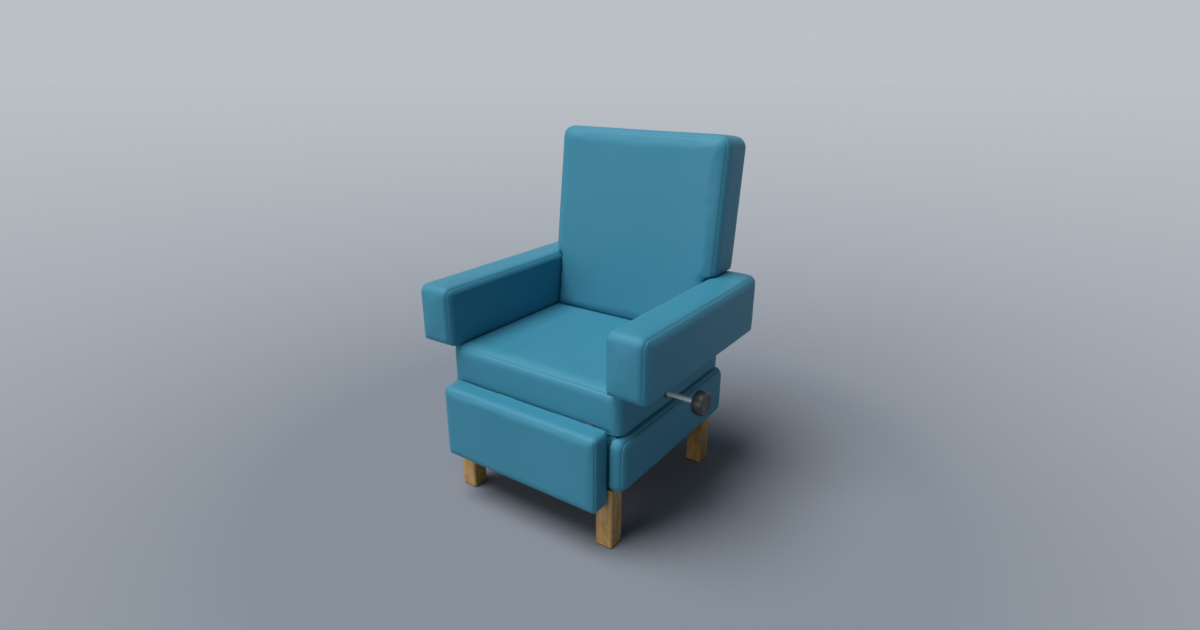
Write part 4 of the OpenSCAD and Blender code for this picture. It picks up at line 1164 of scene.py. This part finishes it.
def make_front_apron():
    """Vinyl that wraps the base's front rail, with slits for the linkage, and lies over the side rails."""
    low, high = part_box("base_rail_front")
    half = 283.7 * MM
    face, top = low[1] - 0.15 * MM, high[2] + 0.05 * MM
    outer, skin = face - 1.2 * MM, 0.2 * MM
    bottom, tuck = low[2] + 2 * MM, low[1] + 5 * MM
    outline = [(face, bottom), (face, top), (tuck, top), (tuck, top + skin), (face - 0.7 * MM, top + skin),
               (outer, top - 0.6 * MM), (outer, bottom)]
    columns, wave_length, wave_height = 90, 0.05, 0.15 * MM
    bm = bmesh.new()
    rings = []
    for k in range(columns + 1):
        x = MID_X + half * (2 * k / columns - 1)
        wave = noise.noise(Vector((x / wave_length, 1.3, 2.7))) * wave_height
        rings.append([bm.verts.new((x, y - (wave if i > 4 else 0), z)) for i, (y, z) in enumerate(outline)])
    join_rings(bm, rings)
    apron = new_piece("front_apron", to_mesh(bm, "front_apron"), VINYL)
    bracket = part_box("legrest_bracket_right")
    bracket_slit = (186.5 * MM, 211.6 * MM)
    cut(apron, both_sides(CRANK_SLOT, (-FAR, 289 * MM), (FAR, FAR)))
    cut(apron, both_sides(bracket_slit, (-FAR, bracket[0][2] - 0.5 * MM), (FAR, bracket[1][2] + 2 * MM)))
    cut(apron, flaps(face, top, skin), "UNION")
    for panel in apron.data.polygons:
        panel.use_smooth = False
    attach(apron, "chair_frame")


def flaps(face, top, skin):
    """Vinyl over the side rails' tops, with lips over their rear ends and over the four outer corners."""
    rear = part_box("base_rail_rear")[1][1] + 0.05 * MM
    lip, corner, margin = 12 * MM, 25 * MM, 0.05 * MM
    pieces = []
    for side in (1, -1):
        x0, x1 = across(side, 262 * MM, 283.9 * MM)
        pieces.append(plain_box((x0, face - 0.1 * MM, top - 0.02 * MM),
                                (x1, rear + skin / 2, top + skin * 0.9)))
        pieces.append(plain_box((x0, rear, top - lip), (x1 - margin, rear + skin, top + skin * 0.8)))
        for start, end in ((face - 0.08 * MM, face + corner), (rear - corner, rear + skin * 0.4)):
            x0, x1 = across(side, 283.8 * MM, 284.22 * MM)
            pieces.append(plain_box((x0, start, top), (x1, end, top + skin * 0.85)))
            x0, x1 = across(side, 284.02 * MM, 284.2 * MM)
            pieces.append(plain_box((x0, start + margin, top - lip), (x1, end - margin, top + skin * 0.7)))
    return pieces


make_front_apron()
make_seat()
make_arms()
make_back()
make_legrest()
make_base_covers()


# ---- Knob, spring and webbing

STRAP_WIDTH, STRAP_STEPS = 50 * MM, 60


def lathe(name, profile, at, material, sides=96):
    """A solid of revolution about X through a point: profile is (distance along X, radius)."""
    bm = bmesh.new()
    rings = []
    for x, r in profile:
        ring = circle(sides) if r > 0 else [(0, 0)]
        rings.append([bm.verts.new((at[0] + x, at[1] + r * u, at[2] + r * v)) for u, v in ring])
    join_rings(bm, rings)
    return new_piece(name, to_mesh(bm, name), material)


def make_knob():
    """The knob: a collar round the rod, a rounded rim with a slight crown, and a dished end."""
    low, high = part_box("release_knob")
    thick, radius = high[0] - low[0], (high[2] - low[2]) / 2
    at = (low[0], *middle_of(low, high)[1:])
    edge, dome, dish = 5 * MM, 1.2 * MM, 0.9 * MM
    rim = radius - dome
    quarter = np.linspace(0, math.pi / 2, 9)
    profile = [(0, 0), (0, 11 * MM), (0.6 * MM, 12.2 * MM), (0.6 * MM, 14 * MM), (0, 15 * MM)]
    profile += [(edge * (1 - math.cos(a)), rim - edge * (1 - math.sin(a))) for a in quarter]
    steps = 10
    for k in range(1, steps):
        share = k / steps
        profile.append((edge + (thick - 2 * edge) * share, rim + dome * 4 * share * (1 - share)))
    profile += [(thick - edge * (1 - math.sin(a)), rim - edge * (1 - math.cos(a))) for a in quarter]
    profile += [(thick, radius * 0.62)] + [(thick - dish, radius * share) for share in (0.58, 0.2, 0)]
    knob = lathe("pull_knob", profile, at, BLACK_PLASTIC)
    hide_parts("release_knob")
    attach(knob, "release")


def tube_along(name, path, radius, material, sides=10):
    """A round wire along a path, closed at both ends."""
    bm = bmesh.new()
    rings = []
    up = Vector((1, 0, 0))
    for i, point in enumerate(path):
        ahead = (path[min(i + 1, len(path) - 1)] - path[max(i - 1, 0)]).normalized()
        aside = ahead.cross(up).normalized()
        other = aside.cross(ahead).normalized()
        rings.append([bm.verts.new(point + (aside * u + other * v) * radius) for u, v in circle(sides)])
    join_rings(bm, rings)
    return new_piece(name, to_mesh(bm, name), material)


def make_spring():
    """The coil round the rod, which knob_pull squashes."""
    low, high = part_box("release_spring")
    wire = MM
    turns, per_turn = 6, 24
    _, y, z = middle_of(low, high)
    reach = (high[2] - low[2]) / 2 - wire
    path = []
    for k in range(turns * per_turn + 1):
        share = k / (turns * per_turn)
        a = 2 * math.pi * turns * share
        path.append(Vector((low[0] + wire + (high[0] - low[0] - 2 * wire) * share,
                            y + reach * math.cos(a), z + reach * math.sin(a))))
    coil = tube_along("spring_coil", path, wire * 0.95, STEEL)
    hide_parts("release_spring")
    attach(coil, "chair_frame")
    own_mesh(coil)


def strap_strip(bm, start, end, across, up, thick, waves):
    """A strap from start to end that rises and dips, with its thickness and tucked edges."""
    right = [(0.5, 0.3), (0.47, 0.5), (0.15, 0.5)]
    upper = [(-u, v) for u, v in right] + right[::-1]
    outline = upper + [(-u, -v) for u, v in upper]
    rings = []
    for k in range(STRAP_STEPS + 1):
        share = k / STRAP_STEPS
        middle = start.lerp(end, share) + up * waves(share)
        rings.append([bm.verts.new(middle + across * STRAP_WIDTH * u + up * thick * v) for u, v in outline])
    join_rings(bm, rings)


def finish_straps(name, bm, node, body):
    """All straps of one frame, as the piece that stands for its webbing."""
    straps = new_piece(name, to_mesh(bm, name), STRAP)
    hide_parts(node)
    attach(straps, body)


def make_webbing():
    """Straps woven over and under each other in the seat, and straight ones across the back."""
    low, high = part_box("seat_webbing")
    middle_z = middle_of(low, high)[2]
    thick, lift, sag = 1.3 * MM, 0.65 * MM, 0.6
    rail_front, rail_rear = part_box("seat_rail_front"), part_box("seat_rail_rear")
    room = rail_rear[0][1] - rail_front[1][1]
    ys = [rail_front[1][1] + room * i / 7 for i in range(1, 7)]
    reach = (high[0] - low[0]) / 2 - 18 * MM
    xs = [MID_X + reach * (2 * i / 6 - 1) for i in range(1, 6)]
    ahead, aside, up = Vector((0, 1, 0)), Vector((1, 0, 0)), Vector((0, 0, 1))
    bm = bmesh.new()
    for row, y in enumerate(ys):
        def dip(share, row=row):
            x = low[0] + (high[0] - low[0]) * share
            inside = min(1, min(share, 1 - share) * 12)
            phase = math.cos(math.pi * (x - xs[0]) / (xs[1] - xs[0])) * (1 if row % 2 else -1)
            return lift * (phase * inside - (1 - inside) * sag)
        strap_strip(bm, Vector((low[0], y, middle_z)), Vector((high[0], y, middle_z)), ahead, up, thick, dip)
    for column, x in enumerate(xs):
        def rise(share, column=column):
            y = low[1] + (high[1] - low[1]) * share
            return lift * math.cos(math.pi * (y - ys[0]) / (ys[1] - ys[0])) * (-1 if column % 2 else 1)
        strap_strip(bm, Vector((x, low[1], middle_z)), Vector((x, high[1], middle_z)), aside, up, thick, rise)
    finish_straps("seat_straps", bm, "seat_webbing", "chair_frame")
    bm = bmesh.new()
    out, above = (LEANED.to_3x3() @ Vector(way) for way in ((0, 1, 0), (0, 0, 1)))
    bottom = BACK_FRAME_Z[0] + 40 * MM
    for i in range(1, 6):
        z = bottom + (BACK_FRAME_Z[1] - bottom) * i / 6
        start, end = (LEANED @ Vector((x, 107 * MM, z)) for x in (-246 * MM, 246 * MM))
        strap_strip(bm, start, end, above.normalized(), out.normalized(), 1.8 * MM, lambda share: 0.0)
    finish_straps("back_straps", bm, "back_webbing", "back")


make_knob()
make_spring()
make_webbing()


# ---- Studio

# The floor's colour under the chair, darker in painted shade, and far away, how it goes from one to the
# other, and the backdrop
FLOOR_NEAR_SHADED, FLOOR_FAR = (0.234, 0.264, 0.3135, 1), (0.4835, 0.5105, 0.5545, 1)
NEAR_EDGE, FADE = 1.033, 0.914
BACKDROP = (0.503, 0.533, 0.571, 1)
FLOOR_HALF = 60.0

# Light from all sides, and each lamp's name, strength, spread in degrees and direction
SKY, SKY_STRENGTH = (0.78, 0.91, 1.0, 1), 0.11
LAMP_COLOR = (1.0, 0.985, 0.96)
LAMPS = (("key_light", 3.1, 40, (0.24, 0.30, -0.92)),
         ("front_fill", 1.0, 40, (0.25, 0.95, -0.14)))


def make_studio():
    """A floor, pale far off and darker round the chair in painted shade, the backdrop and the lamps."""
    floor = bpy.data.meshes.new("studio_floor")
    corners = [(x * FLOOR_HALF, y * FLOOR_HALF, 0) for x, y in ((-1, -1), (1, -1), (1, 1), (-1, 1))]
    floor.from_pydata(corners, [], [(0, 1, 2, 3)])
    floor_material, t = new_material("studio_floor")
    # Painted shade: the floor's colour goes from the pale far colour to a darker one round the chair
    place = t.split_place()
    squares = [t.times(place[way], place[way]) for way in ("X", "Y")]
    away = t.math("MAXIMUM", t.math("SQRT", t.plus(*squares)), NEAR_EDGE)
    near = t.math("DIVIDE", NEAR_EDGE + FADE, t.plus(away, FADE))
    t.finish({"Base Color": t.mix(near, FLOOR_FAR, FLOOR_NEAR_SHADED), "Roughness": 1.0, "Specular IOR Level": 0.0})
    new_piece("studio_floor", floor, floor_material)

    world = bpy.data.worlds.new("studio_world")
    bpy.context.scene.world = world
    world.use_nodes = True
    w = Tree(world.node_tree)
    world.node_tree.nodes.clear()
    light, seen, joined, output = (w.add(kind) for kind in (
        "ShaderNodeBackground", "ShaderNodeBackground", "ShaderNodeMixShader", "ShaderNodeOutputWorld"))
    for node, color, strength in ((light, SKY, SKY_STRENGTH), (seen, BACKDROP, 1.0)):
        w.feed(node.inputs["Color"], color)
        w.feed(node.inputs["Strength"], strength)
    path = w.add("ShaderNodeLightPath")
    direct = w.math("MAXIMUM", path.outputs["Is Camera Ray"], path.outputs["Is Glossy Ray"])
    w.feed(joined.inputs[0], w.math("MAXIMUM", direct, path.outputs["Is Transmission Ray"]))
    w.feed(joined.inputs[1], light.outputs[0])
    w.feed(joined.inputs[2], seen.outputs[0])
    w.feed(output.inputs["Surface"], joined.outputs[0])

    for name, energy, spread, way in LAMPS:
        lamp = bpy.data.lights.new(name, "SUN")
        lamp.energy, lamp.angle, lamp.color = energy, math.radians(spread), LAMP_COLOR
        item = bpy.data.objects.new(name, lamp)
        bpy.context.scene.collection.objects.link(item)
        item.rotation_euler = Vector(way).to_track_quat("-Z", "Y").to_euler()


make_studio()
bpy.context.scene.view_settings.view_transform = "Standard"
